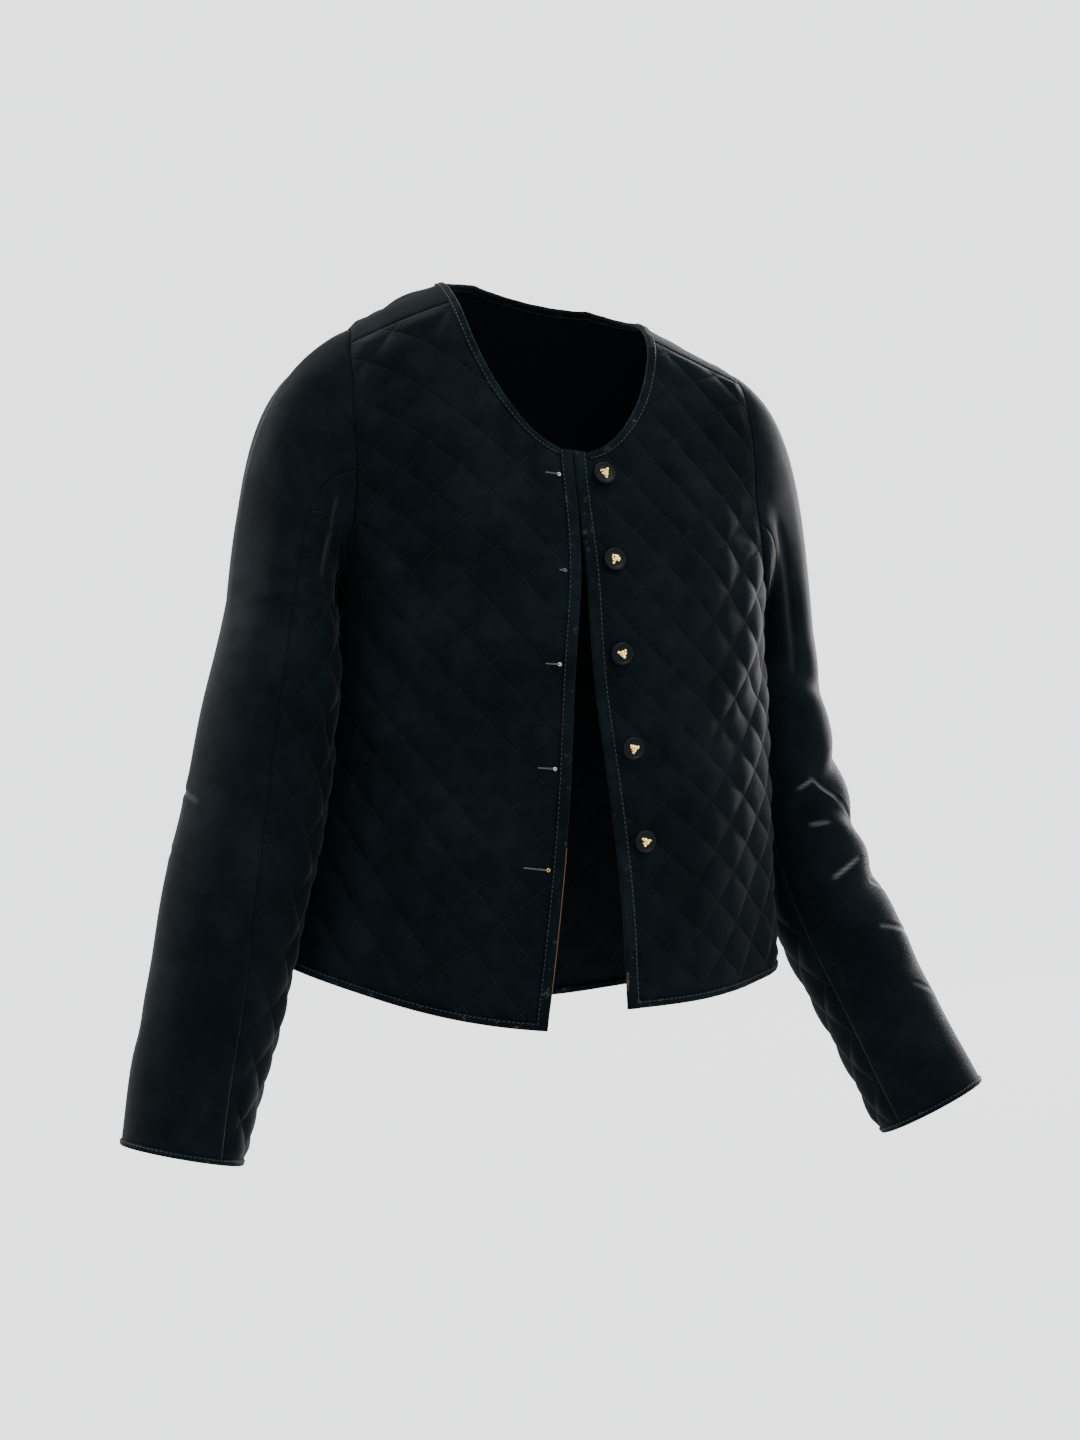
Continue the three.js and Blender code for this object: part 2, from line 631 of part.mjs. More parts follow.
// Places round the arm: the armhole's own points in the first row, even or lattice ones in the others.
function roundPlaces(sleeve, row, from, to, upper) {
  if (row.v === 0) {
    const turn = (angle) => (angle > to ? angle - 360 : angle);
    const inside = sleeve.loop.map((q) => turn(q.angle)).filter((angle) => angle > from + 1.5 && angle < to - 1.5);
    return [from, ...inside.sort((a, b) => a - b), to];
  }
  if (upper) return evenly(arcOf(from), arcOf(to), plainStep).map(angleOf);
  return places(arcOf(from), arcOf(to), quiltStep, underArm, 6).map(angleOf);
}

function sleevePanel(side, upper) {
  const sleeve = sleeves[side];
  const gap = angleOf(seamGap / 2);
  const rows = sleeveRows(sleeve).map((row) => {
    const [front, back] = [seamTable(side, 'front', row.v), seamTable(side, 'back', row.v)];
    const [from, to] = upper ? [back - 360 + gap, front - gap] : [front + gap, back - gap];
    const near = Math.min(row.length, sleeve.total - cuffGap - row.length);
    const make = (angle) => {
      const flat = smoothstep(Math.min(near, arcOf(Math.min(angle - from, to - angle))), 0, 12);
      const h = upper ? 0 : quilt(arcOf(angle) - underArm, row.length) * flat;
      return { p: sleeve.point(angle, row.v), n: sleeve.normal(angle, row.v), h };
    };
    return rowOf(row.v, roundPlaces(sleeve, row, from, to, upper), make);
  });
  return wallTriangles(rows, upper ? plainWall : quiltWall, side < 0);
}

function cuffBinding(side) {
  const sleeve = sleeves[side];
  const [seam, edge] = [sleeve.at(sleeve.total - bindCuff), sleeve.at(sleeve.total)];
  const list = evenly(0, 360, 13).slice(0, -1).map((angle) => ({
    edge: sleeve.point(angle, edge),
    seam: sleeve.point(angle, seam),
    n: sleeve.normal(angle, seam),
  }));
  return strip(list, plainWall, true);
}

// Turns a shape that stands on the plane Z = 0 so that it stands on the body at s and t, and moves it
// out until its foot is clear of what lies under it.
function seat(geometry, side, s, t, radius, under) {
  const [p, n] = [bodyPoint(side, s, t), bodyNormal(side, s, t)];
  const turn = new THREE.Quaternion().setFromUnitVectors(new THREE.Vector3(0, 0, 1), n);
  const high = 20;
  let rise = 0;
  for (const share of [0, 0.35, 0.7, 1]) {
    for (let k = 0; k < 16; k++) {
      const angle = (k * Math.PI) / 8;
      const across = new THREE.Vector3(Math.cos(angle), Math.sin(angle), 0).multiplyScalar(share * radius);
      const from = p.clone().add(across.applyQuaternion(turn)).addScaledVector(n, high);
      const hit = new THREE.Raycaster(from, n.clone().negate()).intersectObject(under)[0];
      if (hit) rise = Math.max(rise, high - hit.distance);
    }
  }
  geometry.applyQuaternion(turn).translate(...p.addScaledVector(n, rise + seamGap).toArray());
  return geometry;
}

function lathe(profile, segments) {
  const points = profile.map(([r, h]) => new THREE.Vector2(r, h));
  return new THREE.LatheGeometry(points, segments).rotateX(Math.PI / 2);
}

// Two closed faces of a lathe share their points only after the seam is merged.
function solid(name, geometry, finish) {
  geometry.deleteAttribute('normal');
  geometry.deleteAttribute('uv');
  const mesh = new THREE.Mesh(mergeVertices(geometry, 1e-3), new THREE.MeshStandardMaterial(finish));
  mesh.geometry.computeVertexNormals();
  mesh.name = name;
  return mesh;
}

const buttonProfile = [[0, 0], [6.6, 0], [buttonRadius, 1.2], [buttonRadius, 2.2], [6.8, 3], [5, 2.7], [0, 2.7]];
const beadProfile = [[0, 0], [3, 0], [beadRadius, 0.6], [2.6, 1.6], [0, 2]];

const jacket = new THREE.Group();
const frontLeft = closedMesh('front_left', frontPanel(1), quilted);
jacket.add(closedMesh('back', [...backHalf(1), ...backHalf(-1)], quilted));
jacket.add(closedMesh('front_right', frontPanel(-1), quilted), frontLeft);
for (const [name, side] of [['right', -1], ['left', 1]]) {
  jacket.add(closedMesh(`upper_sleeve_${name}`, sleevePanel(side, true), velvet));
  jacket.add(closedMesh(`under_sleeve_${name}`, sleevePanel(side, false), quilted));
  jacket.add(closedMesh(`binding_front_${name}`, edgeBinding(side), bound));
  jacket.add(closedMesh(`binding_cuff_${name}`, cuffBinding(side), bound));
}
jacket.add(closedMesh('binding_neck', neckBinding(), bound));
jacket.add(closedMesh('binding_hem', hemBinding(), bound));
buttonTops.forEach((t, k) => {
  const s = opening(1, t) + buttonFromEdge;
  const button = solid(`button_${k + 1}`, seat(lathe(buttonProfile, 20), 1, s, t, buttonRadius, frontLeft), horn);
  jacket.add(button);
  jacket.add(solid(`bead_${k + 1}`, seat(lathe(beadProfile, 12), 1, s, t, beadRadius, button), gilt));
});

export default jacket;
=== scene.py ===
import math
import bpy
import numpy as np
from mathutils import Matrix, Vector


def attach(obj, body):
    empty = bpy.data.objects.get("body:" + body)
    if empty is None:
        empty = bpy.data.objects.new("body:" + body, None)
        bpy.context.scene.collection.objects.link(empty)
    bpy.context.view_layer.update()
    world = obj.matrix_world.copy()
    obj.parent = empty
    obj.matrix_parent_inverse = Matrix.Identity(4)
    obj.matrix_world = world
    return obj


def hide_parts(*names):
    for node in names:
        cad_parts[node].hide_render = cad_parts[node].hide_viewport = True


# A cropped, diamond-quilted velvet jacket without a collar, worn open. Shapes are worked out in the
# frame's axes in millimetres and put into the meshes in metres: Z up, the front towards -Y, and the
# wearer's left towards +X. s runs round the body from the centre line, t down from the shoulders'
# top, over the front where it is above 0 and over the back where it is below 0.

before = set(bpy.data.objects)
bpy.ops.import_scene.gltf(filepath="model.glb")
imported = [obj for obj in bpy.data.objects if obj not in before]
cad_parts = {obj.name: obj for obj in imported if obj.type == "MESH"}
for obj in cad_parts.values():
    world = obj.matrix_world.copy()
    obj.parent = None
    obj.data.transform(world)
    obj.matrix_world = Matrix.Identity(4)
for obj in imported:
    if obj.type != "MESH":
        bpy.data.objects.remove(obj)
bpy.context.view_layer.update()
print("frame loaded")

camera = {
    "azimuth": -17, "elevation": 2, "distance": 2.6, "target": (0, 0, -0.309),
    "lens": 90.275, "sensor": 36,
}
angle, rise = math.radians(camera["azimuth"]), math.radians(camera["elevation"])
towards = Vector((math.sin(angle) * math.cos(rise), -math.cos(angle) * math.cos(rise), math.sin(rise)))
cameraData = bpy.data.cameras.new("camera")
cameraData.sensor_fit = "VERTICAL"
cameraData.sensor_height = camera["sensor"]
cameraData.lens = camera["lens"]
cameraData.clip_end = 50
cameraObject = bpy.data.objects.new("camera", cameraData)
bpy.context.collection.objects.link(cameraObject)
cameraObject.location = Vector(camera["target"]) + camera["distance"] * towards
cameraObject.rotation_euler = (-towards).to_track_quat("-Z", "Y").to_euler()
bpy.context.scene.camera = cameraObject

rng = np.random.default_rng(7)

# The body's sections from the shoulders' top to the hem, as in the frame.
body = {
    "down": [0, 8, 24, 50, 85, 125, 170, 215, 265, 325, 390, 455, 521],
    "half": [186, 186, 185, 183, 180, 174, 167, 160, 158, 160, 165, 173, 183],
    "front": [0, 24, 43, 57, 68, 80, 95, 106, 110, 109, 110, 112, 114],
    "back": [0, 28, 50, 69, 85, 95, 99, 97, 93, 90, 93, 100, 108],
    "sway": [0, 0, 0, 0, 1, 2, 4, 7, 9, 9, 6, 0, -6],
    "underarmLevel": 7, "chestShare": 0.85, "shoulderDrop": 46, "shoulderTip": 148,
    "hemRaise": 36, "tiltTop": 0.085, "tiltHem": 0.02, "neckSkew": 7, "frontLift": 14,
}
edges = {
    "gap": [0.6, 0.8, 6.2, 15.3, 25, 34], "shift": [0, -4, -10, -4, 4, 9],
    "neckHalf": 72, "neckFront": 145, "neckBack": 26, "neckCorner": 82.5, "seamForward": 32, "seamGap": 0.3,
    "depth": [0, 0.3, 0.6, 1], "cutFront": [44, 53, 54, 60], "cutBack": [44, 52, 53, 54],
    "bindNeck": 6, "bindFront": 9, "bindHem": 5.5, "bindCuff": 4.5, "tuck": 1.6,
}
lastLevel = len(body["down"]) - 1
lowest = body["down"][-1]
underarmDown = body["down"][body["underarmLevel"]]


def smooth(x, low, high):
    # 0 below low, 1 above high, and an S-shaped cubic between them
    q = np.clip((np.asarray(x, float) - low) / (high - low), 0, 1)
    return q * q * (3 - 2 * q)


def curveThrough(values, u, first=0):
    # cubic with Catmull-Rom slopes through values at whole numbers, straight past the ends
    v = np.asarray(values, float)
    before = v[0] + (v[1] - v[0]) * np.arange(-3, 0)
    after = v[-1] + (v[-1] - v[-2]) * np.arange(1, 4)
    v = np.concatenate([before, v, after])
    at = np.asarray(u, float) - first + 3
    i = np.clip(np.floor(at).astype(int), 1, len(v) - 3)
    f = at - i
    a, b, c, d = v[i - 1], v[i], v[i + 1], v[i + 2]
    m, k = (c - a) / 2, (d - b) / 2
    return b + f * m + f**2 * (3 * (c - b) - 2 * m - k) + f**3 * (2 * (b - c) + m + k)


def mirrored(key):
    return body[key][:0:-1] + body[key]


def section(u):
    # height down, half width, depth (negative at the back) and sideways shift at level u
    stand = [-v for v in body["back"][:0:-1]] + body["front"]
    rows = (mirrored("down"), mirrored("half"), stand, mirrored("sway"))
    return [curveThrough(v, u, -lastLevel) for v in rows]


stepsPerLevel = 24
levelTable = np.arange(-lastLevel * stepsPerLevel, lastLevel * stepsPerLevel + 1) / stepsPerLevel
sectionTable = section(levelTable)
lengthTable = np.concatenate(
    [[0], np.cumsum(np.hypot(np.diff(sectionTable[0]), body["chestShare"] * np.diff(sectionTable[2])))]
)
lengthTable -= lengthTable[lastLevel * stepsPerLevel]
backHem, frontHem = lengthTable[0], lengthTable[-1]
underarmLevels = [-body["underarmLevel"], body["underarmLevel"]]
underarmBack, underarmFront = np.interp(underarmLevels, levelTable, lengthTable)


def quarterArc(half, depth):
    # lengths along a quarter of an ellipse from its middle, at equal angles, one row each
    turn = np.linspace(0, math.pi / 2, 49)
    step = np.hypot(half[:, None] * np.diff(np.sin(turn)), depth[:, None] * np.diff(np.cos(turn)))
    return np.concatenate([np.zeros((len(half), 1)), np.cumsum(step, axis=1)], axis=1)


def sideLength(t):
    # how far the side line is from the centre line, along the section at t
    t = np.asarray(t, float)
    _, half, depth, _ = section(np.interp(t.ravel(), lengthTable, levelTable))
    return quarterArc(half, depth)[:, -1].reshape(t.shape)


def bodyPoint(side, s, t):
    # the ellipse's point whose arc length is s, then the shoulders' slope, the hem's rise and the tilts
    s, t = np.broadcast_arrays(np.asarray(s, float), np.asarray(t, float))
    shape, s, t = s.shape, s.ravel(), t.ravel()
    down, half, depth, sway = section(np.interp(t, lengthTable, levelTable))
    run = quarterArc(half, depth)
    reach = np.abs(s)
    k = np.clip((run < reach[:, None]).sum(axis=1), 1, run.shape[1] - 1)
    each = np.arange(len(s))
    f = np.clip((reach - run[each, k - 1]) / (run[each, k] - run[each, k - 1]), 0, 1)
    turn = np.sign(s) * (k - 1 + f) * (math.pi / 2) / (run.shape[1] - 1)
    x = side * half * np.sin(turn)
    sideShare = np.sin(turn) ** 2
    topShare = np.clip(1 - down / underarmDown, 0, 1) ** 1.4
    lowShare = smooth(down, underarmDown, lowest)
    inner = edges["neckHalf"] * 0.6
    slope = np.clip((np.abs(x) - inner) / (body["shoulderTip"] - inner), 0, 1) ** 1.15
    skew = body["neckSkew"] * topShare * np.sin(math.pi * np.clip(x / body["shoulderTip"], -1, 1))
    z = -down - body["shoulderDrop"] * slope * topShare + body["hemRaise"] * sideShare * lowShare - skew
    tilt = body["tiltHem"] + (z / lowest + 1) * (body["tiltTop"] - body["tiltHem"])
    lift = body["frontLift"] * lowShare * (1 - sideShare) * (t > 0) * (side > 0)
    return np.stack([sway + x, -depth * np.cos(turn), z - x * tilt + lift], axis=-1).reshape(*shape, 3)


def unit(v):
    return v / np.maximum(np.linalg.norm(v, axis=-1, keepdims=True), 1e-9)


def runLengths(points):
    # how far along its run each point lies
    return np.concatenate([[0], np.cumsum(np.linalg.norm(np.diff(points, axis=0), axis=1))])


def alongRun(at, length, values):
    # values at given places of a run, straight between its points
    return np.stack([np.interp(at, length, values[:, k]) for k in range(3)], axis=-1)


def bodyNormal(side, s, t):
    s, t = np.broadcast_arrays(np.asarray(s, float), np.asarray(t, float))
    mid = np.minimum(s, sideLength(t) - 1)
    low = np.clip(t - 1, backHem, frontHem - 2)
    ds = bodyPoint(side, mid + 1, t) - bodyPoint(side, mid - 1, t)
    dt = bodyPoint(side, s, low + 2) - bodyPoint(side, s, low)
    return unit(np.cross(dt, ds) * side)


# The body's drape folds: from and to as sideways and down lengths, then depth and half width. Back
# lengths are negative. A minus depth stands out.
drape = [
    ((-150, 150), (-118, 300), 4, 15),
    ((-172, 268), (-96, 392), 3, 17),
    ((-70, 330), (-92, 548), -4, 24),
    ((-140, 420), (-150, 548), 4, 20),
    ((-205, 330), (-196, 540), -3, 20),
    ((146, 160), (120, 262), 3, 13),
    ((178, 286), (104, 360), 3.5, 16),
    ((82, 370), (96, 548), -3.5, 22),
    ((150, 430), (160, 548), 3.5, 19),
    ((-165, -150), (-60, -235), 3.5, 17),
    ((165, -150), (70, -250), 3, 16),
    ((-190, -300), (-80, -360), 3, 17),
    ((195, -310), (60, -385), 3.5, 18),
    ((-60, -380), (-78, -550), -4, 25),
    ((70, -400), (92, -550), -3.5, 24),
    ((4, -420), (-6, -550), 3.5, 24),
]


def foldsAt(folds, x, y):
    # for each fold a bell curve of the distance from its line, thinning out at the line's ends
    total = np.zeros(np.broadcast(x, y).shape)
    for (x0, y0), (x1, y1), depth, width in folds:
        long = math.hypot(x1 - x0, y1 - y0)
        share = ((x - x0) * (x1 - x0) + (y - y0) * (y1 - y0)) / long**2
        off = ((x - x0) * (y1 - y0) - (y - y0) * (x1 - x0)) / long
        ends = np.maximum(np.maximum(-share, share - 1), 0) * long
        bell = np.exp(-((off / width) ** 2) - (ends / (2 * width)) ** 2)
        total = total - depth * bell * (0.75 + 0.25 * np.cos((share - 0.4) * 4))
    return total


def unevenAt(x, y, high):
    # a few long sine waves across each other, as cloth that was never quite flat
    waves = [(0.031, 0.017, 0.3), (-0.019, 0.027, 1.9), (0.043, -0.035, 4.1), (0.012, 0.051, 2.6)]
    return high * sum(np.sin(x * a + y * b + c) for a, b, c in waves) / len(waves)


def clothPoint(side, s, t):
    # the body's point moved along its normal by the folds and the unevenness
    sideways = side * s
    move = foldsAt(drape, sideways, t) + unevenAt(sideways, t, 1.6)
    return bodyPoint(side, s, t) + bodyNormal(side, s, t) * move[..., None]


def openingAt(side, t):
    u = np.asarray(t, float) / 100 - 1
    return curveThrough(edges["gap"], u) + side * curveThrough(edges["shift"], u)


def neckAt(t, out):
    depth = np.where(t < 0, edges["neckBack"], edges["neckFront"]) + out
    return (edges["neckHalf"] + out) * np.sqrt(np.maximum(0, 1 - (t / depth) ** 2))


def armholeAt(t):
    # the side line less a cut that closes as a fourth-power arc at the underarm
    t = np.asarray(t, float)
    q = np.where(t < 0, t / underarmBack, t / underarmFront)
    cutBack, cutFront = (np.interp(q, edges["depth"], edges[key]) for key in ("cutBack", "cutFront"))
    cut = np.where(t < 0, cutBack, cutFront)
    return sideLength(t) - np.where(q < 1, cut * np.sqrt(np.maximum(0, 1 - q**4)), 0)


quilting = {"step": 20, "rise": 2.7, "sharp": 2.6, "thin": 0.9, "inside": 0.9}
puffs = rng.random((64, 64))


def quiltAt(p, t):
    # a pillow in each diamond: the product of two bulges between the stitched lines, uneven by diamond
    a, b = (p + t) / quilting["step"] / 2, (p - t) / quilting["step"] / 2
    wrapped = [2 * (v - np.floor(v)) - 1 for v in (a, b)]
    bulge = np.prod([1 - np.abs(v) ** quilting["sharp"] for v in wrapped], axis=0)
    puff = puffs[np.floor(a).astype(int) % 64, np.floor(b).astype(int) % 64]
    return bulge * (0.78 + 0.3 * puff)


def outward(points, faces):
    # turns every face over when the signed volume is negative
    volume = 0
    for list in faces:
        a, b, c = (points[list[:, k]] for k in range(3))
        volume += np.einsum("ij,ij->", a, np.cross(b, c))
        if list.shape[1] == 4:
            volume += np.einsum("ij,ij->", a, np.cross(c, points[list[:, 3]]))
    return faces if volume > 0 else [list[:, ::-1] for list in faces]


def addPiece(name, points, faces, materials, flat=None, marks=None, slots=None, walls=None):
    # faces is a list of index arrays of three or four columns, flat the cloth's own places in mm, marks
    # the values kept at the points, slots each face's material, and walls is 1 on flat-shaded faces
    faces = outward(points, faces)
    mesh = bpy.data.meshes.new(name)
    mesh.from_pydata((points * 0.001).tolist(), [], [f for list in faces for f in list.tolist()])
    for material in materials:
        mesh.materials.append(material)
    loops = np.empty(len(mesh.loops), int)
    mesh.loops.foreach_get("vertex_index", loops)
    if flat is not None:
        layer = mesh.uv_layers.new(name="cloth")
        layer.data.foreach_set("uv", (flat[loops] * 0.001).ravel())
    for key, values in (marks or {}).items():
        mesh.attributes.new(key, "FLOAT", "POINT").data.foreach_set("value", values)
    rounded = np.ones(len(mesh.polygons), bool) if walls is None else walls == 0
    mesh.polygons.foreach_set("use_smooth", rounded)
    if slots is not None:
        mesh.polygons.foreach_set("material_index", slots)
    mesh.update()
    piece = bpy.data.objects.new(name, mesh)
    bpy.context.collection.objects.link(piece)
    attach(piece, "root")
    print("made", name, len(mesh.vertices), "points")
    return piece


def gridQuads(index):
    return np.stack([index[:-1, :-1], index[1:, :-1], index[1:, 1:], index[:-1, 1:]], axis=-1).reshape(-1, 4)


def bridge(a, b, under):
    # quads from a run of points to the same run on the other face
    return np.stack([a, b, b + under, a + under], axis=-1).reshape(-1, 4)


def wallFaces(rows, columns, leftOpen=None):
    # an outer and an inner grid, and rims along their four borders; leftOpen says which rows have a
    # left rim
    index = np.arange(rows * columns).reshape(rows, columns)
    under = rows * columns
    left = bridge(index[1:, 0], index[:-1, 0], under)
    if leftOpen is not None:
        left = left[leftOpen]
    rims = [
        left,
        bridge(index[:-1, -1], index[1:, -1], under),
        bridge(index[0, :-1], index[0, 1:], under),
        bridge(index[-1, 1:], index[-1, :-1], under),
    ]
    return gridQuads(index), gridQuads(index + under)[:, ::-1], np.concatenate(rims)


def faceKinds(faces):
    # for walls one after another: the lining's slot on the inner faces, and flat shading on the rims
    counts = [len(f) for f in faces]
    return [np.repeat(kinds * (len(faces) // 3), counts) for kinds in ([0, 1, 0], [0, 0, 1])]


def gridNormals(points, side):
    down, across = np.gradient(points, axis=0), np.gradient(points, axis=1)
    return unit(np.cross(down, across) * side)


def thicken(points, normals, high, low):
    outer, inner = points + normals * high[..., None], points - normals * low[..., None]
    return np.concatenate([outer.reshape(-1, 3), inner.reshape(-1, 3)])


def weld(points, faces, *others):
    # merges the points that lie on each other, as along the centre of the back
    _, index, inverse = np.unique(np.round(points, 3), axis=0, return_index=True, return_inverse=True)
    inverse = inverse.reshape(-1)
    return points[index], [inverse[f] for f in faces], [o[index] for o in others]


def flatSize(lines, lengths):
    # the cut's greatest width, its length and its area, from the widths of its rows
    widths = np.abs(lines[:, 1] - lines[:, 0])
    area = np.sum((widths[1:] + widths[:-1]) / 2 * np.abs(np.diff(lengths)))
    return widths.max() * 0.001, np.ptp(lengths) * 0.001, area * 1e-6


# Shader maths

class Wire:
    # one socket of a material's nodes, with arithmetic that adds Math nodes
    def __init__(self, made, socket):
        self.made = made
        self.socket = socket

    def math(self, operation, *others):
        return self.made.node("ShaderNodeMath", {"operation": operation}, dict(enumerate((self, *others))))

    def __add__(self, other):
        return self.math("ADD", other)

    def __radd__(self, other):
        return self.math("ADD", other)

    def __sub__(self, other):
        return self.math("SUBTRACT", other)

    def __rsub__(self, other):
        return self.math("MULTIPLY_ADD", -1, other)

    def __mul__(self, other):
        return self.math("MULTIPLY", other)

    def __rmul__(self, other):
        return self.math("MULTIPLY", other)

    def within(self, low, high):
        settings = {"interpolation_type": "SMOOTHSTEP"}
        return self.made.node("ShaderNodeMapRange", settings, {0: self, 1: low, 2: high})


class Finish:
    # a material and its one Principled shader
    def __init__(self, name, **fixed):
        self.material = bpy.data.materials.new(name)
        self.material.use_nodes = True
        self.nodes = self.material.node_tree.nodes
        self.links = self.material.node_tree.links
        self.shader = self.nodes["Principled BSDF"]
        for key, value in fixed.items():
            self.shader.inputs[key.replace("_", " ")].default_value = value

    def node(self, kind, settings=None, inputs=None, out=0):
        made = self.nodes.new(kind)
        for key, value in (settings or {}).items():
            setattr(made, key, value)
        for key, value in (inputs or {}).items():
            if isinstance(value, Wire):
                self.links.new(value.socket, made.inputs[key])
            else:
                made.inputs[key].default_value = value
        return Wire(self, made.outputs[out])

    def feed(self, **sockets):
        for key, wire in sockets.items():
            self.links.new(wire.socket, self.shader.inputs[key.replace("_", " ")])

    def place(self):
        return self.node("ShaderNodeTexCoord", out=3)

    def noise(self, scale, detail=2, rough=0.5):
        inputs = {"Vector": self.place(), "Scale": scale, "Detail": detail, "Roughness": rough}
        return self.node("ShaderNodeTexNoise", {"noise_dimensions": "3D"}, inputs)

    def blend(self, share, first, second):
        made = self.nodes.new("ShaderNodeMix")
        made.data_type = "RGBA"
        for socket, value in ((made.inputs[0], share), (made.inputs[6], first), (made.inputs[7], second)):
            if isinstance(value, Wire):
                self.links.new(value.socket, socket)
            else:
                socket.default_value = value if np.isscalar(value) else (*value, 1)
        return Wire(self, made.outputs[2])

    def bump(self, height, strength, distance, below=None):
        inputs = {"Height": height, "Strength": strength, "Distance": distance}
        if below:
            inputs["Normal"] = below
        return self.node("ShaderNodeBump", {}, inputs)


# Among these colours is a pale one, painted as highlight along the sleeves' creases, and a near black one,
# painted as shade in the quilting's stitched grooves.
velvet = {
    "deep": (0.0002, 0.001, 0.0016), "brushed": (0.0017, 0.0043, 0.0056), "creaseHighlight": (0.15, 0.155, 0.16),
    "worn": (0.035, 0.04, 0.04), "shadedGroove": (0.0001, 0.0003, 0.0005), "thread": (0.006, 0.009, 0.01),
    "sheen": 0.06, "quiltSheen": 0.022, "sheenRough": 0.26, "sheenTint": (0.8, 0.76, 0.8, 1),
    "pile": 1500, "patch": 14, "streak": 60, "fleck": 150, "rough": 0.9, "specular": 0.04,
}
quiltLine = {"spacing": 0.04, "width": 0.0016, "dash": 0.0034, "dashShare": 0.62}


def quiltLines(finish):
    # distance from the nearest stitched line, from the cloth's own places, and the stitches along it
    cloth = finish.node("ShaderNodeUVMap", {"uv_map": "cloth"})
    parts = finish.node("ShaderNodeSeparateXYZ", {}, {0: cloth})
    across, down = parts, Wire(finish, parts.socket.node.outputs[1])
    half = quiltLine["spacing"] / 2
    a = (across + down).math("PINGPONG", half) * math.sqrt(0.5)
    b = (across - down).math("PINGPONG", half) * math.sqrt(0.5)
    line = a.math("MINIMUM", b)
    shadedGroove = 1 - line.within(0, quiltLine["width"])
    along = (a.math("LESS_THAN", b) * (across - down)) + (b.math("LESS_THAN", a) * (across + down))
    stitch = quiltLine["dash"] / 2
    dash = along.math("PINGPONG", stitch).math("LESS_THAN", stitch * quiltLine["dashShare"])
    thread = (1 - line.within(0.0002, 0.00045)) * dash
    return shadedGroove, thread


def velvetFinish(name, quilted, creaseHighlight=False, lighter=1.0, flecks=0.0):
    finish = Finish(
        name, Sheen_Weight=velvet["quiltSheen" if quilted else "sheen"], Sheen_Roughness=velvet["sheenRough"],
        Sheen_Tint=velvet["sheenTint"], Specular_IOR_Level=velvet["specular"],
    )
    pile = finish.noise(velvet["pile"], 3, 0.6)
    patch = finish.noise(velvet["patch"], 4, 0.62)
    streak = finish.noise(velvet["streak"], 3, 0.55)
    brushed = (patch * 0.65 + streak * 0.35).within(0.32, 0.76)
    light = tuple(v * lighter for v in velvet["brushed"])
    colour = finish.blend(brushed * (0.35 + pile * 0.6), velvet["deep"], light)
    if flecks:
        worn = finish.noise(velvet["fleck"], 3, 0.7).within(0.6, 0.72)
        colour = finish.blend(worn * pile * flecks, colour, velvet["worn"])
    rough = velvet["rough"] - 0.12 * brushed + 0.1 * pile
    normal = finish.bump(pile, 0.5, 0.0005)
    if quilted:
        shadedGroove, thread = quiltLines(finish)
        # painted shade: the stitched grooves darkened, as where shade falls in them
        colour = finish.blend(shadedGroove * 0.5, colour, velvet["shadedGroove"])
        colour = finish.blend(thread * 0.5, colour, velvet["thread"])
        normal = finish.bump(1 - shadedGroove, 0.6, 0.0007, normal)
        normal = finish.bump(thread, 0.4, 0.0003, normal)
    # painted highlight: pale colour along the creases, where the crushed pile catches the light
    if creaseHighlight:
        mark = finish.node("ShaderNodeAttribute", {"attribute_name": "creaseHighlightShare"}, out=2)
        colour = finish.blend(mark * (0.55 + 0.45 * pile), colour, velvet["creaseHighlight"])
    finish.feed(Base_Color=colour, Roughness=rough, Normal=normal)
    return finish.material


quiltedVelvet = velvetFinish("quilted velvet", True, creaseHighlight=True)
plainVelvet = velvetFinish("plain velvet", False, creaseHighlight=True)
boundVelvet = velvetFinish("binding velvet", False, lighter=1.4, flecks=0.7)


def liningFinish():
    finish = Finish("lining", Sheen_Weight=0.006, Sheen_Roughness=0.5, Specular_IOR_Level=0.03)
    shadedGroove, thread = quiltLines(finish)
    weave = finish.noise(2600, 2, 0.5)
    cloud = finish.noise(22, 3, 0.6)
    colour = finish.blend(cloud, (0.0005, 0.0015, 0.0021), (0.0012, 0.0026, 0.0034))
    # painted shade: the lining's stitched grooves darkened, as where shade falls in them
    colour = finish.blend(shadedGroove * 0.6, colour, (0.0003, 0.0008, 0.0011))
    normal = finish.bump(weave, 0.25, 0.0002)
    normal = finish.bump(1 - shadedGroove, 0.6, 0.0006, normal)
    colour = finish.blend(thread * 0.4, colour, (0.008, 0.011, 0.012))
    finish.feed(Base_Color=colour, Roughness=0.7 + 0.14 * cloud, Normal=normal)
    return finish.material


def threadFinish(name, dark, light, rough):
    finish = Finish(name, Sheen_Weight=0.05, Specular_IOR_Level=0.2)
    twist = finish.node(
        "ShaderNodeTexWave", {"wave_type": "BANDS", "bands_direction": "DIAGONAL"},
        {"Vector": finish.place(), "Scale": 900, "Distortion": 1.5},
    )
    fuzz = finish.noise(2200, 2, 0.6)
    finish.feed(
        Base_Color=finish.blend(twist * 0.6 + fuzz * 0.4, dark, light),
        Roughness=rough + 0.15 * fuzz, Normal=finish.bump(twist, 0.5, 0.0002),
    )
    return finish.material


def buttonFinish():
    finish = Finish("polished button", Coat_Weight=0.012, Coat_Roughness=0.3, Specular_IOR_Level=0.06)
    cloud = finish.noise(180, 3, 0.6)
    scratch = finish.noise(900, 2, 0.7)
    finish.feed(
        Base_Color=finish.blend(cloud, (0.0004, 0.001, 0.0014), (0.0014, 0.0026, 0.003)),
        Roughness=0.42 + 0.16 * scratch, Normal=finish.bump(scratch, 0.08, 0.0002),
    )
    return finish.material


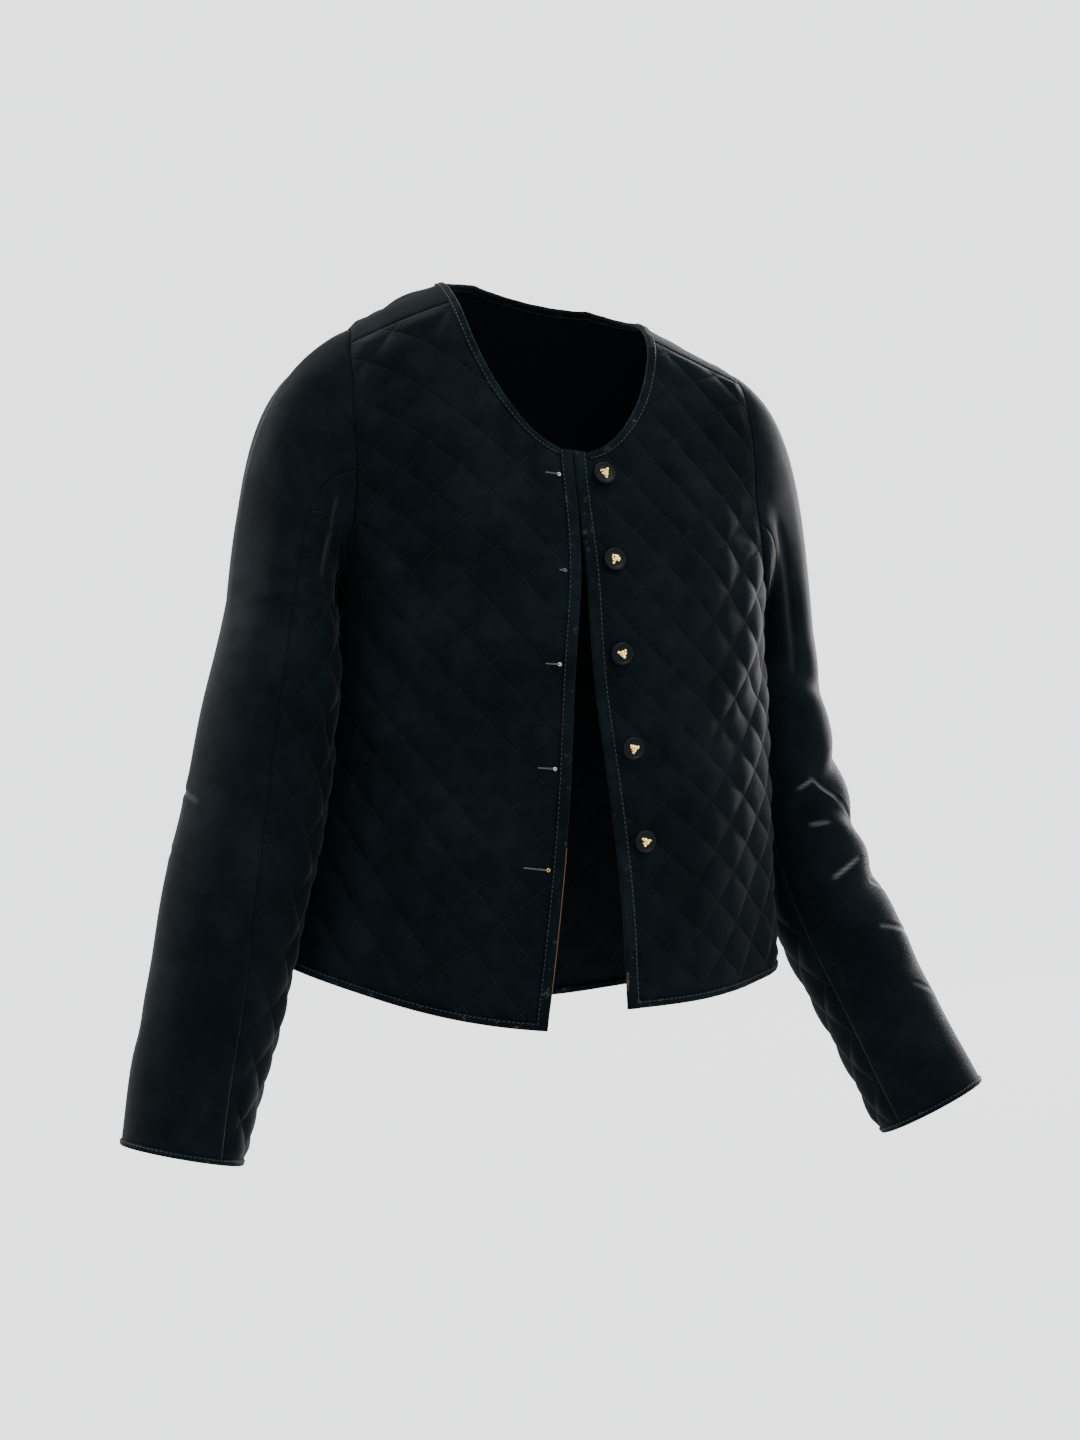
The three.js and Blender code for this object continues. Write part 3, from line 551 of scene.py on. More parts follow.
def goldFinish():
    finish = Finish("gold beads", Metallic=0.6)
    worn = finish.noise(700, 3, 0.6)
    finish.feed(
        Base_Color=finish.blend(worn.within(0.35, 0.65), (0.62, 0.4, 0.09), (1.0, 0.78, 0.3)),
        Roughness=0.26 + 0.22 * worn, Normal=finish.bump(worn, 0.25, 0.0002),
    )
    return finish.material


lining = liningFinish()
blackThread = threadFinish("black thread", (0.001, 0.0024, 0.003), (0.009, 0.014, 0.016), 0.6)
paleThread = threadFinish("pale thread", (0.16, 0.16, 0.15), (0.42, 0.41, 0.39), 0.7)
dimThread = threadFinish("dim thread", (0.02, 0.021, 0.022), (0.085, 0.088, 0.09), 0.7)
goldenThread = threadFinish("golden brown thread", (0.13, 0.08, 0.018), (0.42, 0.29, 0.08), 0.65)
brownThread = threadFinish("brown thread", (0.03, 0.009, 0.003), (0.13, 0.045, 0.014), 0.7)
gold = goldFinish()
buttonBlack = buttonFinish()
print("finishes made")

# The panels

panels = {
    "pitch": 2.4, "flatBand": 11, "seamDip": 0.5, "dipWide": 3.5, "frontColumns": 92, "backColumns": 88,
    "plainFrom": 4, "far": 50,
}


def panelRows(low, high, extras):
    # even rows between two lengths, with the outlines' own rows where those turn
    count = round((high - low) / panels["pitch"])
    even = np.linspace(low, high, count + 1)
    extras = np.array([t for t in extras if low + 0.4 < t < high - 0.4])
    keep = even[1:-1]
    if len(extras):
        keep = keep[np.abs(keep[:, None] - extras[None]).min(axis=1) > 0.9]
    return np.sort(np.concatenate([[low, high], keep, extras]))


def armTurns(end):
    return end * np.sqrt(np.sin(np.radians(np.arange(40, 91, 4))))


def neckTurns(depth, degrees):
    return depth * np.sin(np.radians(degrees))


neckPanel = edges["bindNeck"] - edges["tuck"]
bandFront = edges["bindFront"] - edges["tuck"]
seamHalf = edges["seamGap"] / 2


def panelPoints(side, rows, first, last, columns, shift, near, edge, centred=False):
    # outer and inner points of a panel whose rows run between the first and last places
    share = np.linspace(0, 1, columns)[None]
    s = first[:, None] + (last - first)[:, None] * share
    t = np.repeat(rows[:, None], columns, axis=1)
    points = clothPoint(side, s, t)
    normals = gridNormals(points, side if rows[-1] > rows[0] else -side)
    if centred:
        normals[first <= 0, 0] = bodyNormal(1, 0, rows[first <= 0])
    gap = near(s, t)
    quilt = quiltAt(s - shift(t), t) * smooth(gap, 0, panels["flatBand"])
    dip = panels["seamDip"] * (1 - smooth(edge(s, t), 0, panels["dipWide"]))
    high = quilting["rise"] * quilt - dip
    low = quilting["thin"] + quilting["inside"] * quilt
    plain = centred & (t > 0)
    across, down = np.where(plain, quilting["step"], s - shift(t)), np.where(plain, 0, t)
    flat = np.stack([across, down], axis=-1).reshape(-1, 2)
    return thicken(points, normals, high, low), np.concatenate([flat, flat])


def frontFrom(side, t):
    return np.maximum(neckAt(t, neckPanel), openingAt(side, t) + bandFront)


def sideTo(t):
    return armholeAt(t) - seamHalf


def makeFront(name, side):
    rows = panelRows(
        edges["seamForward"] + seamHalf, frontHem - edges["bindHem"] + edges["tuck"],
        [*armTurns(underarmFront), *neckTurns(edges["neckFront"] + neckPanel, np.arange(50, 84, 2))],
    )
    columns = panels["frontColumns"]
    first, last = frontFrom(side, rows), sideTo(rows)

    def near(s, t):
        across = np.minimum(s - frontFrom(side, t), armholeAt(t) - s)
        return np.minimum(across, np.minimum(t - edges["seamForward"], rows[-1] - t))

    points, flat = panelPoints(side, rows, first, last, columns, lambda t: openingAt(side, t), near, near)
    faces = wallFaces(len(rows), columns)
    slots, walls = faceKinds(faces)
    piece = addPiece(f"{name}_panel", points, list(faces), [quiltedVelvet, lining], flat, None, slots, walls)
    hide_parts(name)
    return piece, flatSize(np.stack([first, last], axis=1), rows)


def makeBack():
    rows = panelRows(
        backHem + edges["bindHem"] - edges["tuck"], edges["seamForward"] - seamHalf,
        [*armTurns(underarmBack), *neckTurns(-edges["neckBack"] - neckPanel, np.arange(6, 91, 6))],
    )[::-1]
    columns = panels["backColumns"]
    first, last = neckAt(rows, neckPanel), sideTo(rows)
    rimmed = (first[1:] > 0) | (first[:-1] > 0)

    def near(s, t):
        start = neckAt(t, neckPanel)
        across = np.minimum(np.where(start > 0, s - start, panels["far"]), armholeAt(t) - s)
        beyond = np.where(t < 0, np.hypot(s, t + edges["neckBack"] + neckPanel), panels["far"])
        return np.minimum.reduce([across, beyond + 3, panels["plainFrom"] - t, t - rows[-1]])

    def edge(s, t):
        return np.minimum(armholeAt(t) - s, edges["seamForward"] - t)

    halves = [
        panelPoints(side, rows, first, last, columns, lambda t: 0 * t, near, edge, True) for side in (1, -1)
    ]
    parts = [list(wallFaces(len(rows), columns, rimmed)) for _ in halves]
    parts[1] = [f[:, ::-1] + len(halves[0][0]) for f in parts[1]]
    points = np.concatenate([h[0] for h in halves])
    flat = np.concatenate([halves[0][1], halves[1][1] * [-1, 1]])
    faces = parts[0] + parts[1]
    slots, walls = faceKinds(faces)
    points, faces, (flat,) = weld(points, faces, flat)
    piece = addPiece("back_panel", points, faces, [quiltedVelvet, lining], flat, None, slots, walls)
    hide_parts("back")
    return piece, flatSize(np.stack([-last, last - 2 * first], axis=1), rows)


backPiece, backCut = makeBack()
frontRight, frontRightCut = makeFront("front_right", -1)
frontLeft, frontLeftCut = makeFront("front_left", 1)
print("panels made")

# The sleeves

arms = {
    -1: {
        "down": [226, 298, 368, 436, 494, 556, 606], "out": [191, 200, 215, 232, 245, 260, 270],
        "y": [0, -8, -20, -26, -30, -35, -37], "wide": [38, 47, 49, 50, 48, 46, 43],
        "deep": [56, 53, 52, 50, 48, 46, 44], "reach": 0.34, "fall": 0.3,
    },
    1: {
        "down": [248, 300, 362, 420, 480, 542, 600], "out": [195, 200, 210, 223, 246, 274, 302],
        "y": [51, 53, 47, 34, 20, 4, -10], "wide": [30, 35, 40, 43, 42, 41, 41],
        "deep": [46, 47, 48, 48, 47, 45, 43], "reach": 0.26, "fall": 0.45,
    },
}
sleeveSeams = {
    "at": [0, 1, 2, 3.2, 5, 7], "back": [252, 264, 266, 262, 252, 244],
    "front": {-1: [100, 86, 83, 89, 104, 118], 1: [112, 124, 134, 142, 150, 154]},
}
# Soft folds as in the frame: distance below the first section, angle, depth, widths and slant.
softFolds = {
    -1: [(18, 80, 4.5, 15, 70, 0.35), (95, 130, 4, 14, 60, -0.3), (150, 60, 3.5, 15, 65, 0.3),
         (215, 110, 3.5, 14, 60, -0.25), (300, 300, 3, 15, 70, 0.2)],
    1: [(30, 70, 4, 15, 70, -0.35), (112, 50, 5.5, 14, 75, 0.4), (158, 20, 5.5, 14, 70, -0.3),
        (205, 40, 4.5, 14, 65, 0.25), (268, 75, 3, 14, 60, -0.2)],
}
# Sharp creases: from and to as angle and distance below the first section, then depth, half width and how
# strong the highlight painted along the crease is, where its crushed pile catches the light. Above that
# section the distance goes from 0 to -100 at the armhole.
creases = {
    1: [
        ((20, 157), (60, 138), 1.9, 2.2, 0.4),
        ((60, 138), (90, 116), 1.9, 2.0, 0.45),
        ((90, 116), (106, 121), 1.4, 1.9, 0.36),
        ((103, 152), (86, 153), 1.4, 1.8, 0.31),
        ((97, 192), (62, 185), 1.8, 2.0, 0.4),
        ((46, 206), (18, 215), 1.5, 1.9, 0.31),
        ((72, 240), (24, 253), 1.6, 2.0, 0.31),
        ((66, 290), (40, 300), 1.3, 1.9, 0.22),
        ((5, 172), (-40, 160), 1.7, 2.2, 0.22),
        ((-20, 200), (-62, 190), 1.6, 2.2, 0.18),
        ((98, -62), (88, 20), 2.2, 5, 0.07),
    ],
    -1: [
        ((112, -78), (122, -58), 1.2, 3, 0.04),
        ((122, -58), (116, -20), 1.2, 3, 0.06),
        ((84, -60), (74, -10), 1.8, 8, 0),
        ((60, 30), (96, 62), 1.8, 7, 0),
        ((20, 150), (-30, 138), 1.6, 2.4, 0.14),
        ((-10, 188), (-60, 178), 1.6, 2.4, 0.14),
    ],
}
# The panels' columns and row pitch are by side. A crease's lips and its painted highlight are as wide as
# stated times the crease.
sleeve = {
    "radius": 48, "capRows": 62, "thick": 1.6, "lip": 0.45, "lipWide": 3.2, "highlightWide": 0.62,
    "upper": {-1: (76, 2.6), 1: (96, 1.8)}, "under": {-1: (64, 2.3), 1: (64, 2.3)},
}


def armholeLoop(side):
    # points of the armhole at even angles by length, over the front and then over the back
    runs = []
    for end in (underarmFront, underarmBack):
        low = np.sqrt(np.sin(np.radians(np.arange(38, 90.1, 1))))
        t = np.concatenate([np.linspace(0, 0.78, 60) * end, end * low])
        points = clothPoint(side, armholeAt(t), t)
        length = runLengths(points)
        runs.append((t, points, 180 * length / length[-1]))
    t = np.concatenate([runs[0][0], runs[1][0][-2:0:-1]])
    points = np.concatenate([runs[0][1], runs[1][1][-2:0:-1]])
    turn = np.concatenate([runs[0][2], 360 - runs[1][2][-2:0:-1]])
    normals = bodyNormal(side, armholeAt(t), t)
    along = np.roll(points, -1, axis=0) - np.roll(points, 1, axis=0)
    away = unit(np.cross(along, normals) * -side)
    high = 0.7 * smooth(np.abs(180 - turn), 20, 120)[:, None]
    out = unit(np.array([side, 0, -arms[side]["fall"]]))
    leave = unit(away * high + out * (1 - high))
    start = points + (leave + away * 0.5) * edges["seamGap"]
    return turn, start, leave


def makeArm(side):
    arm = arms[side]
    last = len(arm["down"]) - 1
    turns, starts, leaves = armholeLoop(side)

    def centre(u):
        out, y, down = (curveThrough(arm[key], u) for key in ("out", "y", "down"))
        return np.stack([side * out, y, -down], axis=-1)

    levels = np.arange(last * stepsPerLevel + 1) / stepsPerLevel
    lengths = runLengths(centre(levels))

    def basis(u):
        down = unit(centre(u + 0.01) - centre(u - 0.01))
        out = np.array([side, 0, 0]) - down * down[..., :1] * side
        out = unit(out)
        return down, out, np.cross(down, out) * side

    def ring(angle, u):
        _, out, front = basis(u)
        length = np.interp(u, levels, lengths)
        move = 0
        for at, middle, depth, width, span, slant in softFolds[side]:
            turn = (angle - middle + 180) % 360 - 180
            reach = np.clip(1 - (turn / span) ** 2, 0, 1)
            move = move - depth * reach * np.exp(-(((length - at - slant * turn) / width) ** 2))
        q = np.radians(angle)
        wide = (curveThrough(arm["wide"], u) + move) * np.cos(q)
        deep = (curveThrough(arm["deep"], u) + move) * np.sin(q)
        return centre(u) + out * wide[..., None] + front * deep[..., None]

    def point(angle, v):
        # a cubic curve from the armhole to the first section, and the sections' ellipses below it
        angle, v = np.broadcast_arrays(np.asarray(angle, float), np.asarray(v, float))
        turn = angle % 360
        start, leave = (alongRun(turn, [*turns, 360], np.concatenate([v, v[:1]])) for v in (starts, leaves))
        leave = unit(leave)
        end = ring(angle, 0 * angle)
        reach = np.linalg.norm(end - start, axis=-1, keepdims=True)
        one = start + leave * reach * arm["reach"]
        two = end - basis(0 * angle)[0] * reach * 0.4
        q = np.clip(v, 0, 1)[..., None]
        head = start * (1 - q) ** 3 + 3 * one * q * (1 - q) ** 2 + 3 * two * q * q * (1 - q) + end * q**3
        return np.where(v[..., None] >= 1, ring(angle, np.maximum(v - 1, 0)), head)

    return point, lengths[-1], lambda length: 1 + np.interp(length, lengths, levels)


armShapes = {side: makeArm(side) for side in (1, -1)}


def armSurface(side, angle, v, down):
    # the arm's point, moved by the creases and the unevenness, and how strong the highlight painted along its
    # creases is there
    base = armShapes[side][0](angle, v)
    arc = np.radians((angle + 90) % 360 - 90) * sleeve["radius"]
    move, light = unevenAt(arc + 400 * side, down, 1.3), np.zeros(base.shape[:-1])
    for (turn0, down0), (turn1, down1), depth, width, pale in creases[side]:
        arc0, arc1 = (math.radians(turn) * sleeve["radius"] for turn in (turn0, turn1))
        ends = ((arc0, down0), (arc1, down1))
        wides = (width, width * sleeve["lipWide"], width * sleeve["highlightWide"])
        deep, beside, thin = (foldsAt([(*ends, -1, wide)], arc, down) for wide in wides)
        move = move - depth * deep + sleeve["lip"] * depth * beside
        # the highlight painted along each crease, as strong as its last column says
        light = np.maximum(light, pale * thin)
    return base, move, light


def sleeveGrid(side, columns, limits, pitch):
    total, at = armShapes[side][1:]
    end = total - edges["bindCuff"] + edges["tuck"]
    lengths = np.linspace(0, end, round(end / pitch) + 1)
    head = np.linspace(0, 1, sleeve["capRows"])[:-1]
    v = np.concatenate([head, at(lengths)])
    down = np.concatenate([(head - 1) * 100, lengths])
    first, last = limits(v)
    angle = first[:, None] + (last - first)[:, None] * np.linspace(0, 1, columns)[None]
    return angle, np.repeat(v[:, None], columns, axis=1), np.repeat(down[:, None], columns, axis=1), end


def makeSleeve(name, side, upper):
    gap = math.degrees(seamHalf / sleeve["radius"])

    def limits(v):
        front = np.interp(v, sleeveSeams["at"], sleeveSeams["front"][side])
        back = np.interp(v, sleeveSeams["at"], sleeveSeams["back"])
        return (back - 360 + gap, front - gap) if upper else (front + gap, back - gap)

    columns, pitch = sleeve["upper" if upper else "under"][side]
    angle, v, down, end = sleeveGrid(side, columns, limits, pitch)
    base, move, light = armSurface(side, angle, v, down)
    normals = gridNormals(base, -side)
    points = base + normals * move[..., None]
    normals = gridNormals(points, -side)
    arc = np.radians(angle) * sleeve["radius"]
    edge = np.minimum(arc - arc[:, :1], arc[:, -1:] - arc)
    ends = np.minimum(np.where(v < 1, v * 60, 60 + down), end - down)
    near = np.minimum(edge, ends)
    dip = panels["seamDip"] * (1 - smooth(near, 0, panels["dipWide"]))
    place = arc - math.radians(180) * sleeve["radius"]
    quilt = 0 if upper else quiltAt(place, down) * smooth(near, 0, panels["flatBand"]) * (v >= 1)
    high = quilting["rise"] * quilt - dip
    low = sleeve["thick"] + quilting["inside"] * quilt + 0 * high
    flat = np.stack([place, down], axis=-1).reshape(-1, 2)
    faces = wallFaces(*angle.shape)
    slots, walls = faceKinds(faces)
    # the creases' painted highlight, kept at the points for the velvet's colour
    creaseHighlightShare = np.tile(light.ravel(), 2)
    piece = addPiece(
        f"{name}_panel", thicken(points, normals, high, low), list(faces),
        [plainVelvet if upper else quiltedVelvet, lining], np.concatenate([flat, flat]), {"creaseHighlightShare": creaseHighlightShare},
        slots, walls,
    )
    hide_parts(name)
    widths = np.linalg.norm(np.diff(base, axis=1), axis=-1).sum(axis=1)
    lengths = np.linalg.norm(np.diff(base, axis=0), axis=-1)
    area = np.sum(lengths.mean(axis=1) * (widths[1:] + widths[:-1]) / 2) * 1e-6
    return piece, (widths.max() * 0.001, lengths.sum(axis=0).max() * 0.001, area)


sleevePieces = {}
for side, word in ((-1, "right"), (1, "left")):
    sleevePieces[f"upper_sleeve_{word}"] = makeSleeve(f"upper_sleeve_{word}", side, True)
    sleevePieces[f"under_sleeve_{word}"] = makeSleeve(f"under_sleeve_{word}", side, False)
print("sleeves made")

# The bindings

binding = {"thick": 3.2, "proud": 0.9, "stitch": 3.4, "stitchLong": 2.3, "stitchRound": 0.3}


def bindingPiece(name, seam, edge, normals, closed=False):
    # a strip along its stations: flat on both faces and half round along its free edge
    width = np.linalg.norm(edge - seam, axis=-1)
    out = unit(edge - seam)
    out = unit(out - normals * np.sum(out * normals, axis=-1, keepdims=True))
    half = binding["thick"] / 2 + 0.2
    bend = np.radians(np.linspace(90, -90, 9))
    across = np.concatenate([[0.0, 0.35, 0.7, 1.0], np.zeros(9), [1.0, 0.7, 0.35, 0.0]])
    shares = np.concatenate([[0, 0.35, 0.7, 0.95], np.ones(9), [0.95, 0.7, 0.35, 0]])
    straight = np.maximum(width - half, 0.1)[:, None] * shares
    round = np.concatenate([np.zeros(4), half * np.cos(bend), np.zeros(4)])
    under = [-2 * half + 0.03, -2 * half, -2 * half, -2 * half + 0.3]
    up = np.concatenate([[-0.35, 0.0, 0.06, 0.03], half * (np.sin(bend) - 1), under])
    up = up[None] + binding["proud"] + 0 * straight
    wave = 0.22 * np.sin(np.arange(len(seam)) * 0.9) + 0.12 * np.sin(np.arange(len(seam)) * 2.3)
    if closed:
        wave = wave * 0
    up = up + 0.5 * wave[:, None]
    points = seam[:, None] + out[:, None] * (straight + round)[..., None] + normals[:, None] * up[..., None]
    rows, columns = points.shape[:2]
    index = np.arange(rows * columns).reshape(rows, columns)
    index = np.concatenate([index, index[:, :1]], axis=1)
    if closed:
        index = np.concatenate([index, index[:1]], axis=0)
    faces = [gridQuads(index)]
    if not closed:
        ends = []
        for row, step in ((index[0], 1), (index[-1], -1)):
            fan = np.stack([np.full(columns - 2, row[0]), row[1:columns - 1], row[2:columns]], axis=-1)
            ends.append(fan[:, ::step])
        faces += ends
    long = runLengths(seam)
    flat = np.stack(np.broadcast_arrays(long[:, None], across[None] * 8), axis=-1)
    piece = addPiece(f"{name}_band", points.reshape(-1, 3), faces, [boundVelvet], flat.reshape(-1, 2))
    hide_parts(name)
    return piece, long[-1] * 0.001


def revolve(profile, segments):
    # points of a profile of radius and height turned about Z, with one point for each pole
    profile = np.array(profile, float)
    turn = np.arange(segments) * 2 * math.pi / segments
    rings = profile[1:-1]
    grid = np.stack([
        rings[:, :1] * np.cos(turn), rings[:, :1] * np.sin(turn), rings[:, 1:] + 0 * turn,
    ], axis=-1)
    points = np.concatenate([[[0, 0, profile[0][1]]], grid.reshape(-1, 3), [[0, 0, profile[-1][1]]]])
    index = 1 + np.arange(len(rings) * segments).reshape(len(rings), segments)
    index = np.concatenate([index, index[:, :1]], axis=1)
    low = np.stack([np.zeros(segments, int), index[0, 1:], index[0, :-1]], axis=-1)
    high = np.stack([np.full(segments, len(points) - 1), index[-1, :-1], index[-1, 1:]], axis=-1)
    quads = gridQuads(index)[:, ::-1]
    return points, [quads, low, high]


def copies(points, faces, places, axes=None, sizes=None):
    # the same small form at many places, turned by one set of axes each
    count = len(places)
    sizes = np.ones(count) if sizes is None else np.asarray(sizes, float)
    turned = points[None] if axes is None else np.einsum("pk,nkj->npj", points, axes)
    placed = places[:, None] + turned * sizes[:, None, None]
    shift = np.arange(count)[:, None, None] * len(points)
    return placed.reshape(-1, 3), [(f[None] + shift).reshape(-1, f.shape[1]) for f in faces]


def axesFrom(along, up):
    # for each place three axes: along, sideways and up
    along = unit(along - up * np.sum(along * up, axis=-1, keepdims=True))
    return np.stack([along, np.cross(up, along), up], axis=1)


def stitchRow(name, path, normals, material):
    # short rounded stitches at even distances along a path, each sunk a little at its ends
    length = runLengths(path)
    at = np.arange(2.0, length[-1] - 1.5, binding["stitch"])
    places, ups = alongRun(at, length, path), unit(alongRun(at, length, normals))
    ahead = alongRun(at + 0.5, length, path) - places
    long, round = binding["stitchLong"] / 2, binding["stitchRound"]
    half = [(0, 1), (0.7, 0.86), (1, 0.45)]
    profile = [(round * r, -long * z) for r, z in half] + [(round * r, long * z) for r, z in half[::-1]]
    points, faces = revolve(profile, 6)
    points = points[:, [2, 1, 0]]
    points[:, 2] -= 0.32 * (points[:, 0] / long) ** 2
    points, faces = copies(points, faces, places, axesFrom(ahead, ups))
    piece = addPiece(name, points, faces, [material])


def alongBody(side, seam, edge):
    s0, t0 = seam
    s1, t1 = edge
    return clothPoint(side, s0, t0), clothPoint(side, s1, t1), bodyNormal(side, s0, t0)


def joined(parts):
    return [np.concatenate(runs) for runs in zip(*parts)]


def neckHalfStations(side):
    # places by angle round the neck's oval, from the front corner over the shoulder to the back's middle
    turn = np.radians(np.concatenate([np.linspace(edges["neckCorner"], 0, 100), np.linspace(-1.5, -90, 46)]))
    depth = np.where(turn < 0, edges["neckBack"], edges["neckFront"])

    def at(out):
        t = (depth + out) * np.sin(turn)
        s = (edges["neckHalf"] + out) * np.cos(turn)
        least = np.where(t > 0, openingAt(side, t) + edges["bindFront"] - 0.2, 0)
        return np.maximum(s, least), t

    return alongBody(side, at(edges["bindNeck"]), at(0))


def reverseRun(parts, skip=0):
    return [part[::-1][skip:] for part in parts]


bindings, bindingLengths = {}, {}
rightNeck, leftNeck = neckHalfStations(-1), neckHalfStations(1)
neckRun = joined([leftNeck, reverseRun(rightNeck, 1)])
bindings["binding_neck"], bindingLengths["binding_neck"] = bindingPiece("binding_neck", *neckRun)
stitchWays = {"neck": neckRun}

for side, word in ((-1, "right"), (1, "left")):
    t = np.linspace(edges["neckFront"] - 0.5, frontHem, 200)
    edge = openingAt(side, t)
    run = alongBody(side, (edge + edges["bindFront"], t), (edge, t))
    name = f"binding_front_{word}"
    bindings[name], bindingLengths[name] = bindingPiece(name, *run)
    stitchWays[f"front_{word}"] = run


def hemHalf(side):
    parts = []
    for front in (True, False):
        edgeT = frontHem if front else backHem
        seamT = edgeT - math.copysign(edges["bindHem"], edgeT)
        first = frontFrom(side, np.array([edgeT]))[0] if front else 0
        share = np.linspace(0, 1, 100)
        s = [first + (sideLength(np.array([t]))[0] - first) * share for t in (seamT, edgeT)]
        run = alongBody(side, (s[0], np.full(100, seamT)), (s[1], np.full(100, edgeT)))
        parts.append(run if front else reverseRun(run, 1))
    return joined(parts)


hemRun = joined([hemHalf(1), reverseRun(hemHalf(-1), 1)])
bindings["binding_hem"], bindingLengths["binding_hem"] = bindingPiece("binding_hem", *hemRun)
stitchWays["hem"] = hemRun

for side, word in ((-1, "right"), (1, "left")):
    total, at = armShapes[side][1:]
    turn = np.linspace(0, 360, 121)[:-1]
    downs = [total - edges["bindCuff"], total]
    moved = []
    for down in downs:
        base, move, _ = armSurface(side, turn, np.full(turn.shape, at(down)), np.full(turn.shape, down))
        outwards = unit(base - base.mean(axis=0))
        moved.append(base + outwards * move[:, None])
    normals = unit(moved[0] - moved[0].mean(axis=0))
    name = f"binding_cuff_{word}"
    bindings[name], bindingLengths[name] = bindingPiece(name, moved[0], moved[1], normals, closed=True)
    stitchWays[f"cuff_{word}"] = (moved[0], moved[1], normals)

for word, (seam, edge, normals) in stitchWays.items():
    path = seam + unit(edge - seam) * 1.1 + normals * (binding["proud"] + 0.22)
    stitchRow(f"stitches_{word}", path, normals, blackThread)
print("bindings made")

# The buttons with their gold bead clusters, and the keyhole buttonholes

buttons = {
    "tops": [160, 223, 289, 358, 428], "fromEdge": 20, "radius": 8, "lift": 0.5,
    "profile": [
        (0, 0), (5.6, 0), (7.2, 0.35), (7.9, 1.1), (8, 1.8), (7.8, 2.5), (7.2, 2.95), (6.7, 2.9), (6.3, 2.5),
        (5.8, 2.25), (4.4, 2.2), (0, 2.25),
    ],
}


heap = {
    "step": 1.75, "row": 0.87, "over": 0.58, "up": 0.85, "back": 2.9, "scatter": 0.26, "foot": 2.85,
    "sizes": (0.7, 1.12),
}


def seatOn(side, s, t, radius, shift):
    # the place and axes of something that rests on the quilting's highest part under it
    turn = np.radians(np.arange(0, 360, 30))
    share = np.array([0, 0.5, 1])[:, None] * radius
    across, down = s + share * np.cos(turn), t + share * np.sin(turn)
    middle = clothPoint(side, np.array([s]), np.array([t]))[0]
    normal = bodyNormal(side, np.array([s]), np.array([t]))[0]
    puffed = quilting["rise"] * quiltAt(across - shift, down)
    heights = (clothPoint(side, across, down) - middle) @ normal + puffed
    ahead = clothPoint(side, np.array([s + 1]), np.array([t]))[0] - middle
    return middle, normal, axesFrom(ahead[None], normal[None])[0], heights.max()


def addButton(k, t):
    shift = float(openingAt(1, t))
    s = shift + buttons["fromEdge"]
    middle, normal, axes, high = seatOn(1, s, t, buttons["radius"], shift)
    foot = middle + normal * (high + buttons["lift"])
    points, faces = revolve(buttons["profile"], 72)
    button = addPiece(f"button_disc_{k}", foot + points @ axes, faces, [buttonBlack])
    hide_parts(f"button_{k}")
    shank = [(0, -high - 1), (1.5, -high - 1), (1.3, -0.6), (1.7, -0.1), (0, 0.2)]
    points, faces = revolve(shank, 12)
    thread = addPiece(f"button_thread_{k}", foot + points @ axes, faces, [blackThread])
    bead = [(math.sin(a) if 0 < a < 3.14 else 0, -math.cos(a)) for a in np.linspace(0, math.pi, 9)]
    points, faces = revolve(bead, 12)
    # a heap in rows of four, three, two and one, with six more beads on top
    step, row, up = heap["step"], heap["row"], heap["up"]
    places = [(i - j / 2, j * row, 0) for j in range(4) for i in range(j + 1)]
    places += [(i - j / 2, j * row + heap["over"], up) for j in range(3) for i in range(j + 1)]
    places = np.array(places) * step - [0, heap["back"], 0] + rng.normal(0, heap["scatter"], (16, 3))
    places = places + [0, 0, heap["foot"]]
    lean = 0.5 * math.sin(2.4 * k)
    places[:, :2] = places[:, :2] @ [[math.cos(lean), math.sin(lean)], [-math.sin(lean), math.cos(lean)]]
    points, faces = copies(points, faces, places, None, rng.uniform(*heap["sizes"], 16))
    cluster = addPiece(f"bead_cluster_{k}", foot + points @ axes, faces, [gold])
    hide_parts(f"bead_{k}")


for k, t in enumerate(buttons["tops"]):
    addButton(k + 1, t)

holes = {
    "tops": [164, 232.5, 297.5, 370, 440], "long": [10, 4, 9.5, 12, 17], "eye": 12, "eyeRadius": 0.95,
    "round": 0.4, "thin": 0.17, "sidePoints": 8, "eyePoints": 21,
    "threads": [paleThread, dimThread, paleThread, paleThread, goldenThread],
}


def addCord(name, path, normals, radius, materials, far):
    # a twisted cord along a path; its faces beyond far take the second material
    length = runLengths(path)
    at = np.linspace(0, length[-1], max(60, round(length[-1] * 4)))
    path, normals = alongRun(at, length, path), unit(alongRun(at, length, normals))
    far, radius = np.interp(at, length, far), np.interp(at, length, radius)
    across = np.cross(normals, unit(np.gradient(path, axis=0)))
    turn = np.radians(np.arange(0, 360, 60))
    radius = (radius * (1 + 0.16 * np.cos(at * 2 * math.pi / 0.75)))[:, None, None]
    turned = across[:, None] * np.cos(turn)[None, :, None] + normals[:, None] * np.sin(turn)[None, :, None]
    points = path[:, None] + radius * turned
    index = np.arange(len(at) * 6).reshape(-1, 6)
    caps = [
        np.stack([np.full(4, row[0]), row[1:5], row[2:6]], axis=-1)[:, ::step]
        for row, step in ((index[0], -1), (index[-1], 1))
    ]
    index = np.concatenate([index, index[:, :1]], axis=1)
    slots = np.concatenate([np.repeat(far[1:] > 0.5, 6), np.repeat(far[[0, -1]] > 0.5, 4)]).astype(int)
    piece = addPiece(name, points.reshape(-1, 3), [gridQuads(index), *caps], materials, slots=slots)


